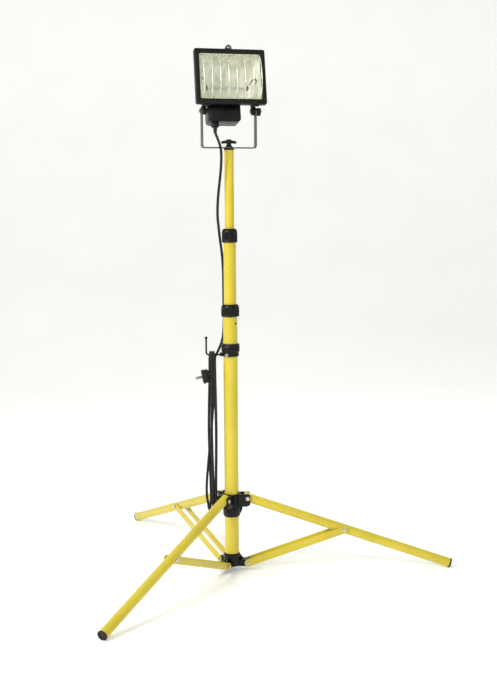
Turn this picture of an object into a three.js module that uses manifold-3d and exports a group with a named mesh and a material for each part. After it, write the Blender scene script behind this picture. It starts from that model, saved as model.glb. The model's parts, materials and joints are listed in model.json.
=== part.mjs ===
// A floodlight on a telescopic tripod: a yellow steel mast in three sections, three folding legs with
// paired braces, and a halogen head in a steel yoke. Millimetres, +Z up. The beam points towards -Y, the
// right leg lies along +X, and the origin is on the floor under the middle of the whole lamp.
import * as THREE from 'three';
import { mergeVertices } from 'three/addons/utils/BufferGeometryUtils.js';
import Module from 'manifold-3d';

const wasm = await Module();
wasm.setup();

// ---- Driving dimensions ----

const GAP = 0.3;                       // left between pieces that touch
const deg = THREE.MathUtils.degToRad;

// Mast tubes: outside radii, and where each one starts and ends at rest
const WALL = 1.5;
const OUTER = { radius: 19, from: 48.3, to: 705.5 };
const MIDDLE = { radius: 16.5, from: 285, to: 905.5 };
const TOP = { radius: 12.5, from: 525, to: 1125 };
const LOWER_COLLAR = { radius: 24, from: 690, to: 722 };
const UPPER_COLLAR = { radius: 20.5, from: 885, to: 921 };
const HOOK_BAND = { radius: 24.5, from: 584, ringTop: 594, to: 618 };

// Tripod: each brace is half of an isosceles linkage, so the hub stays on the mast as the legs fold
const LEG_COUNT = 3;
const LEG_LENGTH = 582;                // from the hub pivot to the outer face of the foot
const LEG_RADIUS = 12.5;
const LEG_SLOPE = deg(18.87);          // below the horizontal, at rest
const LEG_TAIL = 12;                   // tube beyond the hub pivot
const BRACE_LENGTH = 275;              // between its two pivots; also from the hub pivot to the brace's bolt
const PIVOT_RADIUS = 43;               // of the hub's pivots and of the spreader's, from the mast's axis
const FOOT = { radius: 13, flange: 4, spigot: 22, flat: 1 };
const HUB_PIVOT_Z = LEG_LENGTH * Math.sin(LEG_SLOPE) + FOOT.radius * Math.cos(LEG_SLOPE) - FOOT.flat;
const SPREADER_PIVOT_Z = HUB_PIVOT_Z - 2 * BRACE_LENGTH * Math.sin(LEG_SLOPE);
const CHEEK = { inner: 12.9, outer: 17, reach: 50, above: 12.5, below: 22 };
const BRACE = { inner: 13.2, thickness: 3, height: 19 };
const BOLT_RADIUS = 3;
const HOLE_RADIUS = BOLT_RADIUS + GAP;

// Head: the yoke turns on the mast and the housing tilts between its arms
const HEAD_YAW = deg(13);
const HEAD_TILT = deg(-11);            // beam above the horizontal
const TILT_AXIS_Z = 1225;
const YOKE = { z: 1129.3, thickness: 3, width: 22, halfSpan: 73, corner: 8, above: 11 };
const LUG = { inner: 61, outer: 69.5, radius: 10 };
const HEAD_MID_Z = 79;                 // middle of the bezel above the tilt axis
const BEZEL = { halfWidth: 93, halfHeight: 72, front: -46, lip: -42, back: -30, corner: 5 };
const OPENING = { halfWidth: 80.5, halfHeight: 59 };
const RECESS = { halfWidth: 85.5, halfHeight: 64.5 };
const LAMP = { y: 8, z: 63, radius: 5, halfLength: 44, halfTotal: 59 };
const TERMINAL = { left: -56.8, right: 28, front: -18, back: 26, bottom: -32, corner: 9, wall: 3 };
const GLAND_X = -38;

// Cord: 7 mm rubber, hanging from the gland to a hank of three turns on the cable hook
const CORD_RADIUS = 3.5;
const HANK = { x: -49.05, thickness: 21.5, halfWidth: 24.7, ring: 7.3, from: 165, to: 598.6 };

// ---- Materials ----

function finish(color, roughness, metalness = 0) {
  return new THREE.MeshStandardMaterial({ color, roughness, metalness });
}
const yellowPaint = finish(0xe0ce42, 0.38);
const blackPlastic = finish(0x171514, 0.5);
const blackCasting = finish(0x1b1917, 0.55, 0.2);
const zincSteel = finish(0x8b908c, 0.4, 0.9);
const brightWire = finish(0xd9dcc8, 0.3, 0.9);
const aluminium = finish(0xd5d8cf, 0.3, 1);
const floatGlass = finish(0xdfe8e2, 0.05);
const quartzGlass = finish(0xeef0ea, 0.1);
const ceramic = finish(0xe4dfd2, 0.6);
const blackRubber = finish(0x141414, 0.6);
const nickel = finish(0xb9bab4, 0.25, 1);

// ---- Solids ----

// Merges shared points, drops slivers at poles and turns every face outwards.
function tidy(source) {
  const geometry = source.clone();
  geometry.deleteAttribute('normal');
  geometry.deleteAttribute('uv');
  const merged = mergeVertices(geometry, 1e-4);
  const at = merged.getAttribute('position');
  const kept = [];
  let volume = 0;
  const corner = [new THREE.Vector3(), new THREE.Vector3(), new THREE.Vector3()];
  for (let i = 0; i < merged.index.count; i += 3) {
    const face = [0, 1, 2].map((k) => merged.index.getX(i + k));
    if (new Set(face).size < 3) continue;
    kept.push(...face);
    corner.forEach((point, k) => point.fromBufferAttribute(at, face[k]));
    volume += corner[0].dot(corner[1].clone().cross(corner[2]));
  }
  if (volume < 0) kept.reverse();
  merged.setIndex(kept);
  return merged;
}

function toSolid(source) {
  const geometry = tidy(source);
  return new wasm.Manifold(new wasm.Mesh({
    numProp: 3,
    vertProperties: new Float32Array(geometry.getAttribute('position').array),
    triVerts: new Uint32Array(geometry.index.array),
  }));
}

function toGeometry(solid) {
  const mesh = solid.getMesh();
  const geometry = new THREE.BufferGeometry();
  geometry.setAttribute('position', new THREE.BufferAttribute(new Float32Array(mesh.vertProperties), 3));
  geometry.setIndex(Array.from(mesh.triVerts));
  return geometry;
}

function join(...geometries) {
  return toGeometry(geometries.map(toSolid).reduce((sum, solid) => sum.add(solid)));
}

function cut(base, ...tools) {
  return toGeometry(tools.map(toSolid).reduce((rest, solid) => rest.subtract(solid), toSolid(base)));
}

function common(a, b) {
  return toGeometry(toSolid(a).intersect(toSolid(b)));
}

function place(parent, name, geometry, material) {
  const mesh = new THREE.Mesh(tidy(geometry), material);
  mesh.name = name;
  parent.add(mesh);
  return mesh;
}

// A turned piece around Z, from (radius, z) points; the profile closes on itself or on the axis.
function turned(points, sides = 20) {
  const profile = points.map(([radius, z]) => new THREE.Vector2(radius, z));
  const closes = points[0][0] > 0 || points[points.length - 1][0] > 0;
  if (closes) profile.push(profile[0].clone());
  return new THREE.LatheGeometry(profile, sides).rotateX(Math.PI / 2);
}

function ring(outer, inner, from, to, sides = 20) {
  return turned([[inner, from], [outer, from], [outer, to], [inner, to]], sides);
}

function disc(radius, from, to, sides = 12) {
  return turned([[0, from], [radius, from], [radius, to], [0, to]], sides);
}

const alongX = (geometry) => geometry.rotateY(Math.PI / 2);
const alongY = (geometry) => geometry.rotateX(-Math.PI / 2);

function block(x0, x1, y0, y1, z0, z1) {
  return new THREE.BoxGeometry(x1 - x0, y1 - y0, z1 - z0)
    .translate((x0 + x1) / 2, (y0 + y1) / 2, (z0 + z1) / 2);
}

function extrude(shape, depth, curveSegments = 5) {
  return new THREE.ExtrudeGeometry(shape, { depth, bevelEnabled: false, curveSegments });
}

// A shape drawn in (x, z), given a thickness along Y from y0.
function acrossY(shape, y0, depth, curveSegments = 4) {
  return extrude(shape, depth, curveSegments).rotateX(Math.PI / 2).translate(0, y0 + depth, 0);
}

// A shape drawn in (y, z), given a thickness along X from x0.
function acrossX(shape, x0, depth, curveSegments = 5) {
  const axes = [new THREE.Vector3(0, 1, 0), new THREE.Vector3(0, 0, 1), new THREE.Vector3(1, 0, 0)];
  return extrude(shape, depth, curveSegments)
    .applyMatrix4(new THREE.Matrix4().makeBasis(...axes))
    .translate(x0, 0, 0);
}

function roundedRectangle(halfWidth, halfHeight, radius, midY = 0) {
  const shape = new THREE.Shape();
  shape.moveTo(halfWidth, midY);
  shape.absarc(halfWidth - radius, midY + halfHeight - radius, radius, 0, Math.PI / 2);
  shape.absarc(-halfWidth + radius, midY + halfHeight - radius, radius, Math.PI / 2, Math.PI);
  shape.absarc(-halfWidth + radius, midY - halfHeight + radius, radius, Math.PI, Math.PI * 1.5);
  shape.absarc(halfWidth - radius, midY - halfHeight + radius, radius, Math.PI * 1.5, Math.PI * 2);
  shape.closePath();
  return shape;
}

function circle(x, y, radius) {
  return new THREE.Path().absarc(x, y, radius, 0, Math.PI * 2, true);
}

// A round bar along a curve.
function sweep(curve, radius, sides, steps) {
  const section = new THREE.Shape();
  section.absarc(0, 0, radius, 0, Math.PI * 2);
  section.curves = [];
  for (let i = 0; i <= sides; i += 1) {
    const angle = (i / sides) * Math.PI * 2;
    const point = [radius * Math.cos(angle), radius * Math.sin(angle)];
    if (i === 0) section.moveTo(...point);
    else section.lineTo(...point);
  }
  return new THREE.ExtrudeGeometry(section, { steps, extrudePath: curve, bevelEnabled: false });
}

// A bolt along Y: head on one side, nut on the other, shank between.
function bolt(halfGrip, shank = BOLT_RADIUS, head = 5.5, thickness = 3.5) {
  const face = halfGrip + GAP;
  const end = face + thickness;
  return alongY(turned([
    [0, -end], [head, -end], [head, -face], [shank, -face],
    [shank, face], [head, face], [head, end], [0, end],
  ], 10));
}

// A clamp knob around Z: a round middle with lobes, on a stud that points down to studEnd.
function lobedKnob({ middle, lobe, reach, lobes, height, stud, studEnd }) {
  const parts = [disc(middle, 0, height, 20), disc(stud, studEnd, 1, 12)];
  for (let i = 0; i < lobes; i += 1) {
    const angle = (i / lobes) * Math.PI * 2;
    parts.push(disc(lobe, 1, height - 1, 14)
      .translate(reach * Math.cos(angle), reach * Math.sin(angle), 0));
  }
  return join(...parts);
}

const lamp = new THREE.Group();
const stand = new THREE.Group();       // its Z axis is the mast's
lamp.add(stand);

// ---- Mast ----

function buildMast() {
  place(stand, 'outer_tube', ring(OUTER.radius, OUTER.radius - WALL, OUTER.from, OUTER.to), yellowPaint);
  place(stand, 'middle_tube', ring(MIDDLE.radius, MIDDLE.radius - WALL, MIDDLE.from, MIDDLE.to), yellowPaint);
  place(stand, 'top_tube', ring(TOP.radius, TOP.radius - WALL, TOP.from, TOP.to), yellowPaint);
  place(stand, 'middle_bush', slideBush(MIDDLE, OUTER.radius - WALL - GAP), blackPlastic);
  place(stand, 'top_bush', slideBush(TOP, MIDDLE.radius - WALL - GAP), blackPlastic);
  place(stand, 'lower_collar', twistCollar(LOWER_COLLAR, OUTER, MIDDLE), blackPlastic);
  place(stand, 'upper_collar', twistCollar(UPPER_COLLAR, MIDDLE, TOP), blackPlastic);
  const boreRadius = TOP.radius - WALL - GAP;
  place(stand, 'top_plug', turned([
    [0, TOP.to - 26], [boreRadius, TOP.to - 26], [boreRadius, TOP.to + GAP], [13.4, TOP.to + GAP],
    [13.4, YOKE.z - 1.5], [12.2, YOKE.z - GAP], [4, YOKE.z - GAP], [4, YOKE.z + 19], [0, YOKE.z + 19],
  ]), blackPlastic);
}

// A plastic ring that ends a sliding tube and guides it in the tube around it.
function slideBush(tube, guideRadius) {
  const spigot = tube.radius - WALL - GAP;
  const bore = spigot - 2.6;
  const shoulder = tube.from - GAP;
  return turned([
    [bore, shoulder - 14], [guideRadius, shoulder - 14], [guideRadius, shoulder],
    [spigot, shoulder], [spigot, shoulder + 15], [bore, shoulder + 15],
  ]);
}

// A twist lock: it caps the lower tube and grips the tube that slides in it.
function twistCollar(collar, around, sliding) {
  const wide = around.radius + 0.4;
  const narrow = sliding.radius + 0.4;
  const step = around.to + 0.5;
  const r = collar.radius;
  return turned([
    [wide, collar.from], [r - 1, collar.from], [r, collar.from + 2], [r, collar.to - 8],
    [r - 2.5, collar.to - 1], [r - 4, collar.to], [narrow, collar.to], [narrow, step], [wide, step],
  ]);
}

// ---- Cable hook ----

function buildHook() {
  const bore = OUTER.radius + GAP;
  const { radius, from, ringTop, to } = HOOK_BAND;
  const wireZ = from + 4;
  const screwAngle = deg(243);
  const wireRadius = 2.4;
  const band = turned([
    [bore, from], [radius - 3, from], [radius - 2, from + 1], [radius - 2, ringTop],
    [radius, ringTop + 1.5], [radius, to - 3], [radius - 1.5, to], [bore, to],
  ]);
  const boss = block(-28.5, -bore - 0.5, -5, 5, from, ringTop);
  const wireHole = alongX(disc(wireRadius + GAP, -30, -21.5, 12)).translate(0, 0, wireZ);
  const screwHole = alongX(disc(2 + GAP, 20.5, 30, 12)).rotateZ(screwAngle).translate(0, 0, wireZ);
  place(stand, 'hook_band', cut(join(band, boss), wireHole, screwHole), blackPlastic);

  const screw = alongX(turned([[0, 21], [2, 21], [2, 22.8], [4.2, 22.8], [3.6, 26], [0, 26.4]], 14));
  place(stand, 'hook_band_screw', screw.rotateZ(screwAngle).translate(0, 0, wireZ), zincSteel);

  const reach = -64.5;
  const bend = 7;
  const ballZ = 633;
  const path = new THREE.CurvePath();
  const points = [[-22, wireZ], [reach + bend, wireZ], [reach, wireZ], [reach, wireZ + bend], [reach, ballZ]]
    .map(([x, z]) => new THREE.Vector3(x, 0, z));
  path.add(new THREE.LineCurve3(points[0], points[1]));
  path.add(new THREE.QuadraticBezierCurve3(points[1], points[2], points[3]));
  path.add(new THREE.LineCurve3(points[3], points[4]));
  const ball = new THREE.SphereGeometry(4, 10, 6).translate(reach, 0, ballZ);
  place(stand, 'cable_hook', join(sweep(path, wireRadius, 8, 18), ball), blackPlastic);
}

// ---- Tripod ----

function buildSlidingHub() {
  const bore = OUTER.radius + 0.4;
  const top = CHEEK.above;
  const knobAngle = deg(60);
  const knobZ = -19;
  const collar = turned([
    [bore - 2, -50], [20.8, -50], [22.9, -46], [23.3, -40], [23.3, -26], [22, -22], [22, top], [bore - 2, top],
  ]);
  const parts = [collar];
  const holes = [disc(bore, -60, 30, 20)];
  const outline = new THREE.Shape();
  outline.moveTo(17, -CHEEK.below);
  outline.lineTo(CHEEK.reach - 8, -CHEEK.below);
  outline.quadraticCurveTo(CHEEK.reach, -CHEEK.below, CHEEK.reach, -CHEEK.below + 8);
  outline.lineTo(CHEEK.reach, top - 6);
  outline.quadraticCurveTo(CHEEK.reach, top, CHEEK.reach - 6, top);
  outline.lineTo(17, top);
  outline.closePath();
  for (let i = 0; i < LEG_COUNT; i += 1) {
    const angle = legAngle(i);
    for (const side of [-1, 1]) {
      const inner = side > 0 ? CHEEK.inner : -CHEEK.outer;
      parts.push(acrossY(outline, inner, CHEEK.outer - CHEEK.inner, 4).rotateZ(angle));
    }
    holes.push(alongY(disc(HOLE_RADIUS, -20, 20, 10)).translate(PIVOT_RADIUS, 0, 0).rotateZ(angle));
  }
  parts.push(alongX(disc(7, 18, 27, 12)).rotateZ(knobAngle).translate(0, 0, knobZ));
  holes.push(alongX(disc(HOLE_RADIUS, 15, 30, 12)).rotateZ(knobAngle).translate(0, 0, knobZ));
  const hub = cut(join(...parts), ...holes).translate(0, 0, HUB_PIVOT_Z);
  place(stand, 'sliding_hub', hub, blackPlastic);

  const knob = lobedKnob({ middle: 8, lobe: 4.5, reach: 8, lobes: 3, height: 11, stud: 3, studEnd: -7.5 });
  knob.translate(0, 0, 27.6).rotateY(Math.PI / 2).rotateZ(knobAngle);
  place(stand, 'hub_clamp_knob', knob.translate(0, 0, HUB_PIVOT_Z + knobZ), blackPlastic);
}

function buildSpreaderHub() {
  const half = BRACE.height / 2 - 0.4;
  const spigot = OUTER.radius - WALL - GAP;
  const base = turned([
    [0, SPREADER_PIVOT_Z - half], [20, SPREADER_PIVOT_Z - half], [22, SPREADER_PIVOT_Z - half + 2],
    [22, 46], [20.5, OUTER.from - GAP], [spigot, OUTER.from - GAP], [spigot, 75], [0, 75],
  ]);
  const tongue = new THREE.Shape();
  tongue.moveTo(8, -half);
  tongue.lineTo(PIVOT_RADIUS, -half);
  tongue.absarc(PIVOT_RADIUS, 0, half, -Math.PI / 2, Math.PI / 2);
  tongue.lineTo(8, half);
  tongue.closePath();
  const parts = [base];
  const holes = [];
  for (let i = 0; i < LEG_COUNT; i += 1) {
    parts.push(acrossY(tongue, -CHEEK.inner, 2 * CHEEK.inner, 8)
      .translate(0, 0, SPREADER_PIVOT_Z).rotateZ(legAngle(i)));
    holes.push(alongY(disc(HOLE_RADIUS, -20, 20, 10))
      .translate(PIVOT_RADIUS, 0, SPREADER_PIVOT_Z).rotateZ(legAngle(i)));
  }
  place(stand, 'spreader_hub', cut(join(...parts), ...holes), blackPlastic);
}

function legAngle(i) {
  return (i / LEG_COUNT) * Math.PI * 2;
}

function buildLeg(i) {
  const number = i + 1;
  const side = new THREE.Group();
  side.rotation.z = legAngle(i);
  stand.add(side);

  const leg = new THREE.Group();
  leg.position.set(PIVOT_RADIUS, 0, HUB_PIVOT_Z);
  leg.rotation.y = LEG_SLOPE;
  side.add(leg);
  const boltHole = () => alongY(disc(HOLE_RADIUS, -20, 20, 10));
  const tubeEnd = LEG_LENGTH - FOOT.flange - GAP;
  const tube = alongX(ring(LEG_RADIUS, LEG_RADIUS - WALL, -LEG_TAIL, tubeEnd, 16));
  place(leg, `leg_tube_${number}`, cut(tube, boltHole(), boltHole().translate(BRACE_LENGTH, 0, 0)), yellowPaint);
  place(leg, `hub_bolt_${number}`, bolt(CHEEK.outer, BOLT_RADIUS, 5.5, 2.5), zincSteel);
  const outerFace = BRACE.inner + BRACE.thickness;
  place(leg, `leg_bolt_${number}`, bolt(outerFace).translate(BRACE_LENGTH, 0, 0), zincSteel);

  // The foot is cut level at the floor, so the lamp rests on three small flats.
  const spigot = LEG_RADIUS - WALL - GAP;
  const plug = alongX(turned([
    [0, tubeEnd - FOOT.spigot], [spigot, tubeEnd - FOOT.spigot], [spigot, tubeEnd + GAP],
    [FOOT.radius, tubeEnd + GAP], [FOOT.radius, LEG_LENGTH], [0, LEG_LENGTH],
  ], 16)).rotateY(LEG_SLOPE).translate(PIVOT_RADIUS, 0, HUB_PIVOT_Z);
  const underFloor = block(400, 800, -50, 50, -40, 0);
  place(side, `foot_plug_${number}`, cut(plug, underFloor), blackPlastic);

  const brace = new THREE.Group();
  brace.position.set(PIVOT_RADIUS, 0, SPREADER_PIVOT_Z);
  brace.rotation.y = -LEG_SLOPE;
  side.add(brace);
  const half = BRACE.height / 2;
  const bar = new THREE.Shape();
  bar.absarc(0, 0, half, Math.PI / 2, Math.PI * 1.5);
  bar.absarc(BRACE_LENGTH, 0, half, -Math.PI / 2, Math.PI / 2);
  bar.closePath();
  bar.holes.push(circle(0, 0, HOLE_RADIUS), circle(BRACE_LENGTH, 0, HOLE_RADIUS));
  place(brace, `brace_bar_${number}_a`, acrossY(bar, BRACE.inner, BRACE.thickness), yellowPaint);
  place(brace, `brace_bar_${number}_b`, acrossY(bar, -outerFace, BRACE.thickness), yellowPaint);
  place(brace, `spreader_bolt_${number}`, bolt(outerFace), zincSteel);
}

// ---- Yoke and head ----

const swivel = new THREE.Group();
swivel.rotation.z = HEAD_YAW;
stand.add(swivel);
const head = new THREE.Group();
head.position.z = TILT_AXIS_Z;
head.rotation.x = HEAD_TILT;
swivel.add(head);

function buildYoke() {
  const { z, thickness, width, halfSpan, corner, above } = YOKE;
  const topZ = TILT_AXIS_Z + above;
  const inside = halfSpan - thickness;
  const strip = new THREE.Shape();
  strip.moveTo(-halfSpan, topZ);
  strip.lineTo(-halfSpan, z + corner);
  strip.absarc(-halfSpan + corner, z + corner, corner, Math.PI, Math.PI * 1.5);
  strip.lineTo(halfSpan - corner, z);
  strip.absarc(halfSpan - corner, z + corner, corner, -Math.PI / 2, 0);
  strip.lineTo(halfSpan, topZ);
  strip.lineTo(inside, topZ);
  strip.lineTo(inside, z + corner);
  strip.absarc(inside - corner + thickness, z + corner, corner - thickness, 0, -Math.PI / 2, true);
  strip.lineTo(-inside + corner - thickness, z + thickness);
  strip.absarc(-inside + corner - thickness, z + corner, corner - thickness, -Math.PI / 2, -Math.PI, true);
  strip.lineTo(-inside, topZ);
  strip.closePath();
  const bar = acrossY(strip, -width / 2, width, 6);
  const roundEnds = join(block(-100, 100, -30, 30, 0, TILT_AXIS_Z),
    alongX(disc(width / 2, -100, 100, 20)).translate(0, 0, TILT_AXIS_Z));
  const mastHole = disc(4.4, z - 5, z + 10, 16);
  const pivotHole = alongX(disc(HOLE_RADIUS, -100, 100, 12)).translate(0, 0, TILT_AXIS_Z);
  place(swivel, 'yoke', cut(common(bar, roundEnds), mastHole, pivotHole), zincSteel);

  // The T knob screws down on the post of the top plug and clamps the yoke.
  const under = z + thickness + GAP;
  const grip = new THREE.Shape();
  grip.absarc(14, 0, 5, -Math.PI / 2, Math.PI / 2);
  grip.absarc(-14, 0, 5, Math.PI / 2, Math.PI * 1.5);
  grip.closePath();
  const wings = extrude(grip, 8, 6).translate(0, 0, under + 9);
  const stem = turned([[0, under], [10, under], [8, under + 3], [8, under + 15], [6, under + 19], [0, under + 19]], 24);
  const thread = disc(4 + GAP, under - 5, z + 19 + GAP, 16);
  place(stand, 'yoke_knob', cut(join(stem, wings), thread), blackPlastic);

  const knobFace = halfSpan + GAP;
  const studTip = knobFace + 10;
  const lobed = lobedKnob({ middle: 7, lobe: 4, reach: 7.5, lobes: 3, height: 14, stud: 6, studEnd: 0 });
  const bore = disc(HOLE_RADIUS, -1, studTip - knobFace + GAP, 12);
  place(head, 'tilt_knob', alongX(cut(lobed, bore)).translate(knobFace, 0, 0), blackPlastic);
  const headFace = LUG.inner - GAP;
  const stud = [[0, headFace - 3.5], [5.5, headFace - 3.5], [5.5, headFace], [BOLT_RADIUS, headFace]];
  place(head, 'tilt_stud', alongX(turned([...stud, [BOLT_RADIUS, studTip], [0, studTip]], 12)), zincSteel);
  place(head, 'tilt_bolt', alongX(turned([
    ...stud, [BOLT_RADIUS, knobFace], [5.5, knobFace], [5.5, knobFace + 4.5], [0, knobFace + 4.5],
  ], 12)).rotateZ(Math.PI), zincSteel);
}

// A trough lying along X: a deep curved section, narrowing towards the back. inset shrinks every side.
function trough({ front, back, halfHeight, frontHalfWidth, backHalfWidth, deepest }, inset = 0, frontExtra = 0) {
  const y0 = front - frontExtra;
  const y1 = back - inset;
  const h = halfHeight - inset;
  const run = y1 - y0;
  const section = new THREE.Shape();
  section.moveTo(y0, HEAD_MID_Z - h);
  section.bezierCurveTo(y0 + run * 0.6, HEAD_MID_Z - h, y1, deepest - h * 0.55, y1, deepest);
  section.bezierCurveTo(y1, deepest + h * 0.6, y0 + run * 0.6, HEAD_MID_Z + h, y0, HEAD_MID_Z + h);
  section.closePath();
  const slope = (frontHalfWidth - backHalfWidth) / (back - front);
  const widest = frontHalfWidth - inset + slope * frontExtra;
  const narrowest = backHalfWidth - inset + slope * inset;
  const plan = new THREE.Shape();
  plan.moveTo(-widest, y0);
  plan.lineTo(widest, y0);
  plan.lineTo(narrowest, y1);
  plan.lineTo(-narrowest, y1);
  plan.closePath();
  return common(acrossX(section, -200, 400, 6), extrude(plan, 400).translate(0, 0, -100));
}

const HOUSING = { front: -29.7, back: 50, halfHeight: 67, frontHalfWidth: 88, backHalfWidth: 56, deepest: 73 };
const REFLECTOR = { front: -36, back: 34, halfHeight: 61, frontHalfWidth: 82, backHalfWidth: 38, deepest: LAMP.z };

function buildHousing() {
  const shell = 3;
  const eyeZ = HEAD_MID_Z + BEZEL.halfHeight + 6;
  const parts = [trough(HOUSING)];
  const ribs = { ...HOUSING, back: HOUSING.back + 7, backHalfWidth: HOUSING.backHalfWidth };
  for (let x = -40; x <= 40; x += 20) {
    parts.push(common(trough(ribs), block(x - 1.5, x + 1.5, 14, 70, 27, 132)));
  }
  for (const side of [-1, 1]) {
    const lug = join(
      alongX(disc(LUG.radius, LUG.inner, LUG.outer, 20)),
      block(LUG.inner, LUG.outer, -LUG.radius, LUG.radius, 0, 24),
    );
    parts.push(side > 0 ? lug : lug.rotateZ(Math.PI));
  }
  parts.push(alongY(disc(8, HOUSING.front, HOUSING.front + 6, 20)).translate(0, 0, eyeZ));
  parts.push(block(-8, 8, HOUSING.front, HOUSING.front + 6, 130, eyeZ));
  const inside = trough(HOUSING, shell, 10);
  const pivot = alongX(disc(HOLE_RADIUS, -100, 100, 12));
  const screwHole = alongY(disc(3, -70, -20, 14)).translate(0, 0, eyeZ);
  place(head, 'housing', cut(join(...parts), inside, pivot, screwHole), blackCasting);

  const lampHole = alongX(disc(7, -70, 70, 14)).translate(0, LAMP.y, LAMP.z);
  const tray = cut(trough(REFLECTOR), trough(REFLECTOR, 1.2, 10), lampHole);
  place(head, 'reflector', tray, aluminium);

  const { radius, halfLength, halfTotal } = LAMP;
  place(head, 'halogen_lamp', alongX(turned([
    [0, -halfTotal], [3.2, -halfTotal], [3.2, -halfLength - 4], [radius, -halfLength],
    [radius, halfLength], [3.2, halfLength + 4], [3.2, halfTotal], [0, halfTotal],
  ], 16)).translate(0, LAMP.y, LAMP.z), quartzGlass);
  for (const [name, side] of [['lampholder_left', -1], ['lampholder_right', 1]]) {
    const body = block(halfTotal + GAP, halfTotal + 7.5, -7, 7, -8, 8);
    place(head, name, (side > 0 ? body : body.rotateZ(Math.PI)).translate(0, LAMP.y, LAMP.z), ceramic);
  }
  return eyeZ;
}

function frame(outer, inner, front, back) {
  const outline = roundedRectangle(outer.halfWidth, outer.halfHeight, outer.corner, HEAD_MID_Z);
  outline.holes.push(roundedRectangle(inner.halfWidth, inner.halfHeight, inner.corner, HEAD_MID_Z));
  return acrossY(outline, front, back - front, 2);
}

function buildFrontFrame(eyeZ) {
  const opening = { ...OPENING, corner: 4 };
  const recess = { ...RECESS, corner: 3 };
  const eyeFront = BEZEL.back - 6;
  const eye = alongY(disc(8, eyeFront, BEZEL.back - GAP, 20)).translate(0, 0, eyeZ);
  const eyeFoot = block(-8, 8, eyeFront, BEZEL.back - GAP, eyeZ - 12, eyeZ);
  const screwHole = alongY(disc(2.5, -70, -20, 14)).translate(0, 0, eyeZ);
  const lip = frame(BEZEL, opening, BEZEL.front, BEZEL.lip);
  const rim = frame(BEZEL, recess, BEZEL.lip - 0.01, BEZEL.back);
  place(head, 'bezel', cut(join(lip, rim, eye, eyeFoot), screwHole), blackCasting);
  place(head, 'bezel_screw', alongY(turned([
    [0, 0], [2.1, 0], [2.1, 11.6], [4.4, 11.6], [3.8, 14.3], [0, 14.9],
  ], 12)).rotateZ(Math.PI).translate(0, HOUSING.front + 5, eyeZ), zincSteel);

  const pane = { halfWidth: RECESS.halfWidth - 1, halfHeight: RECESS.halfHeight - 1 };
  const glassFront = BEZEL.lip + GAP;
  const glassBack = glassFront + 4;
  place(head, 'front_glass', block(-pane.halfWidth, pane.halfWidth, glassFront, glassBack,
    HEAD_MID_Z - pane.halfHeight, HEAD_MID_Z + pane.halfHeight), floatGlass);
  const seal = { ...pane, corner: 2 };
  const sealInside = { halfWidth: 82.5, halfHeight: 61.5, corner: 2 };
  place(head, 'glass_seal', frame(seal, sealInside, glassBack + GAP, BEZEL.back - 0.5), blackRubber);

  // Eight bowed wires between two rails
  const wire = 1.2;
  const railZ = OPENING.halfHeight - wire - GAP;
  const railY = BEZEL.lip - wire - 0.2;
  const spacing = 21.5;
  const bow = 28;
  const wires = [];
  for (const z of [-railZ, railZ]) {
    wires.push(alongX(disc(wire, -3.5 * spacing - 2, 3.5 * spacing + 2, 5)).translate(0, railY, HEAD_MID_Z + z));
  }
  for (let i = 0; i < 8; i += 1) {
    const x = (i - 3.5) * spacing;
    const path = new THREE.CatmullRomCurve3([
      [railY, -railZ], [railY - bow * 0.62, -railZ * 0.78], [railY - bow, -railZ * 0.3],
      [railY - bow, railZ * 0.3], [railY - bow * 0.62, railZ * 0.78], [railY, railZ],
    ].map(([y, z]) => new THREE.Vector3(x, y, HEAD_MID_Z + z)));
    wires.push(sweep(path, wire, 5, 8));
  }
  place(head, 'wire_guard', join(...wires), brightWire);
}

function buildTerminalBox() {
  const { left, right, front, back, bottom, corner, wall } = TERMINAL;
  const outline = (inset) => {
    const shape = new THREE.Shape();
    const r = corner - inset;
    shape.moveTo(left + inset, 30);
    shape.lineTo(left + inset, bottom + inset + r);
    shape.absarc(left + inset + r, bottom + inset + r, r, Math.PI, Math.PI * 1.5);
    shape.lineTo(right - inset - r, bottom + inset);
    shape.absarc(right - inset - r, bottom + inset + r, r, -Math.PI / 2, 0);
    shape.lineTo(right - inset, 30);
    shape.closePath();
    return shape;
  };
  const underHousing = trough(HOUSING, -GAP);
  const ceiling = block(left - 5, right + 5, front - 5, back + 10, 9, 60);
  const body = acrossY(outline(0), front, back - front, 5);
  const cavity = cut(acrossY(outline(wall), front + wall, back - front, 4),
    block(left - 5, right + 5, front - 5, back + 30, 5, 60));
  const wireHole = disc(4, bottom - 5, bottom + 10, 14).translate(GLAND_X, 0, 0);
  place(head, 'terminal_box', cut(body, underHousing, ceiling, cavity, wireHole), blackPlastic);
  const lid = cut(acrossY(outline(0), back + GAP, 3, 5), ceiling, underHousing);
  place(head, 'terminal_cover', lid, blackPlastic);
  place(head, 'terminal_block', block(-20, 14, -6, 6, bottom + wall + GAP, bottom + wall + 14), ceramic);

  const glandTop = bottom - GAP;
  place(head, 'cable_gland', turned([
    [4, glandTop - 3], [9.5, glandTop - 3], [9.5, glandTop], [4, glandTop],
  ], 6).translate(GLAND_X, 0, 0), blackPlastic);
  place(head, 'gland_nut', turned([
    [4, glandTop - 3 - GAP], [11, glandTop - 3 - GAP], [11, glandTop - 7], [7.5, glandTop - 10.7], [4, glandTop - 10.7],
  ], 16).translate(GLAND_X, 0, 0), blackPlastic);
}

// ---- Cord and plug ----

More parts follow.
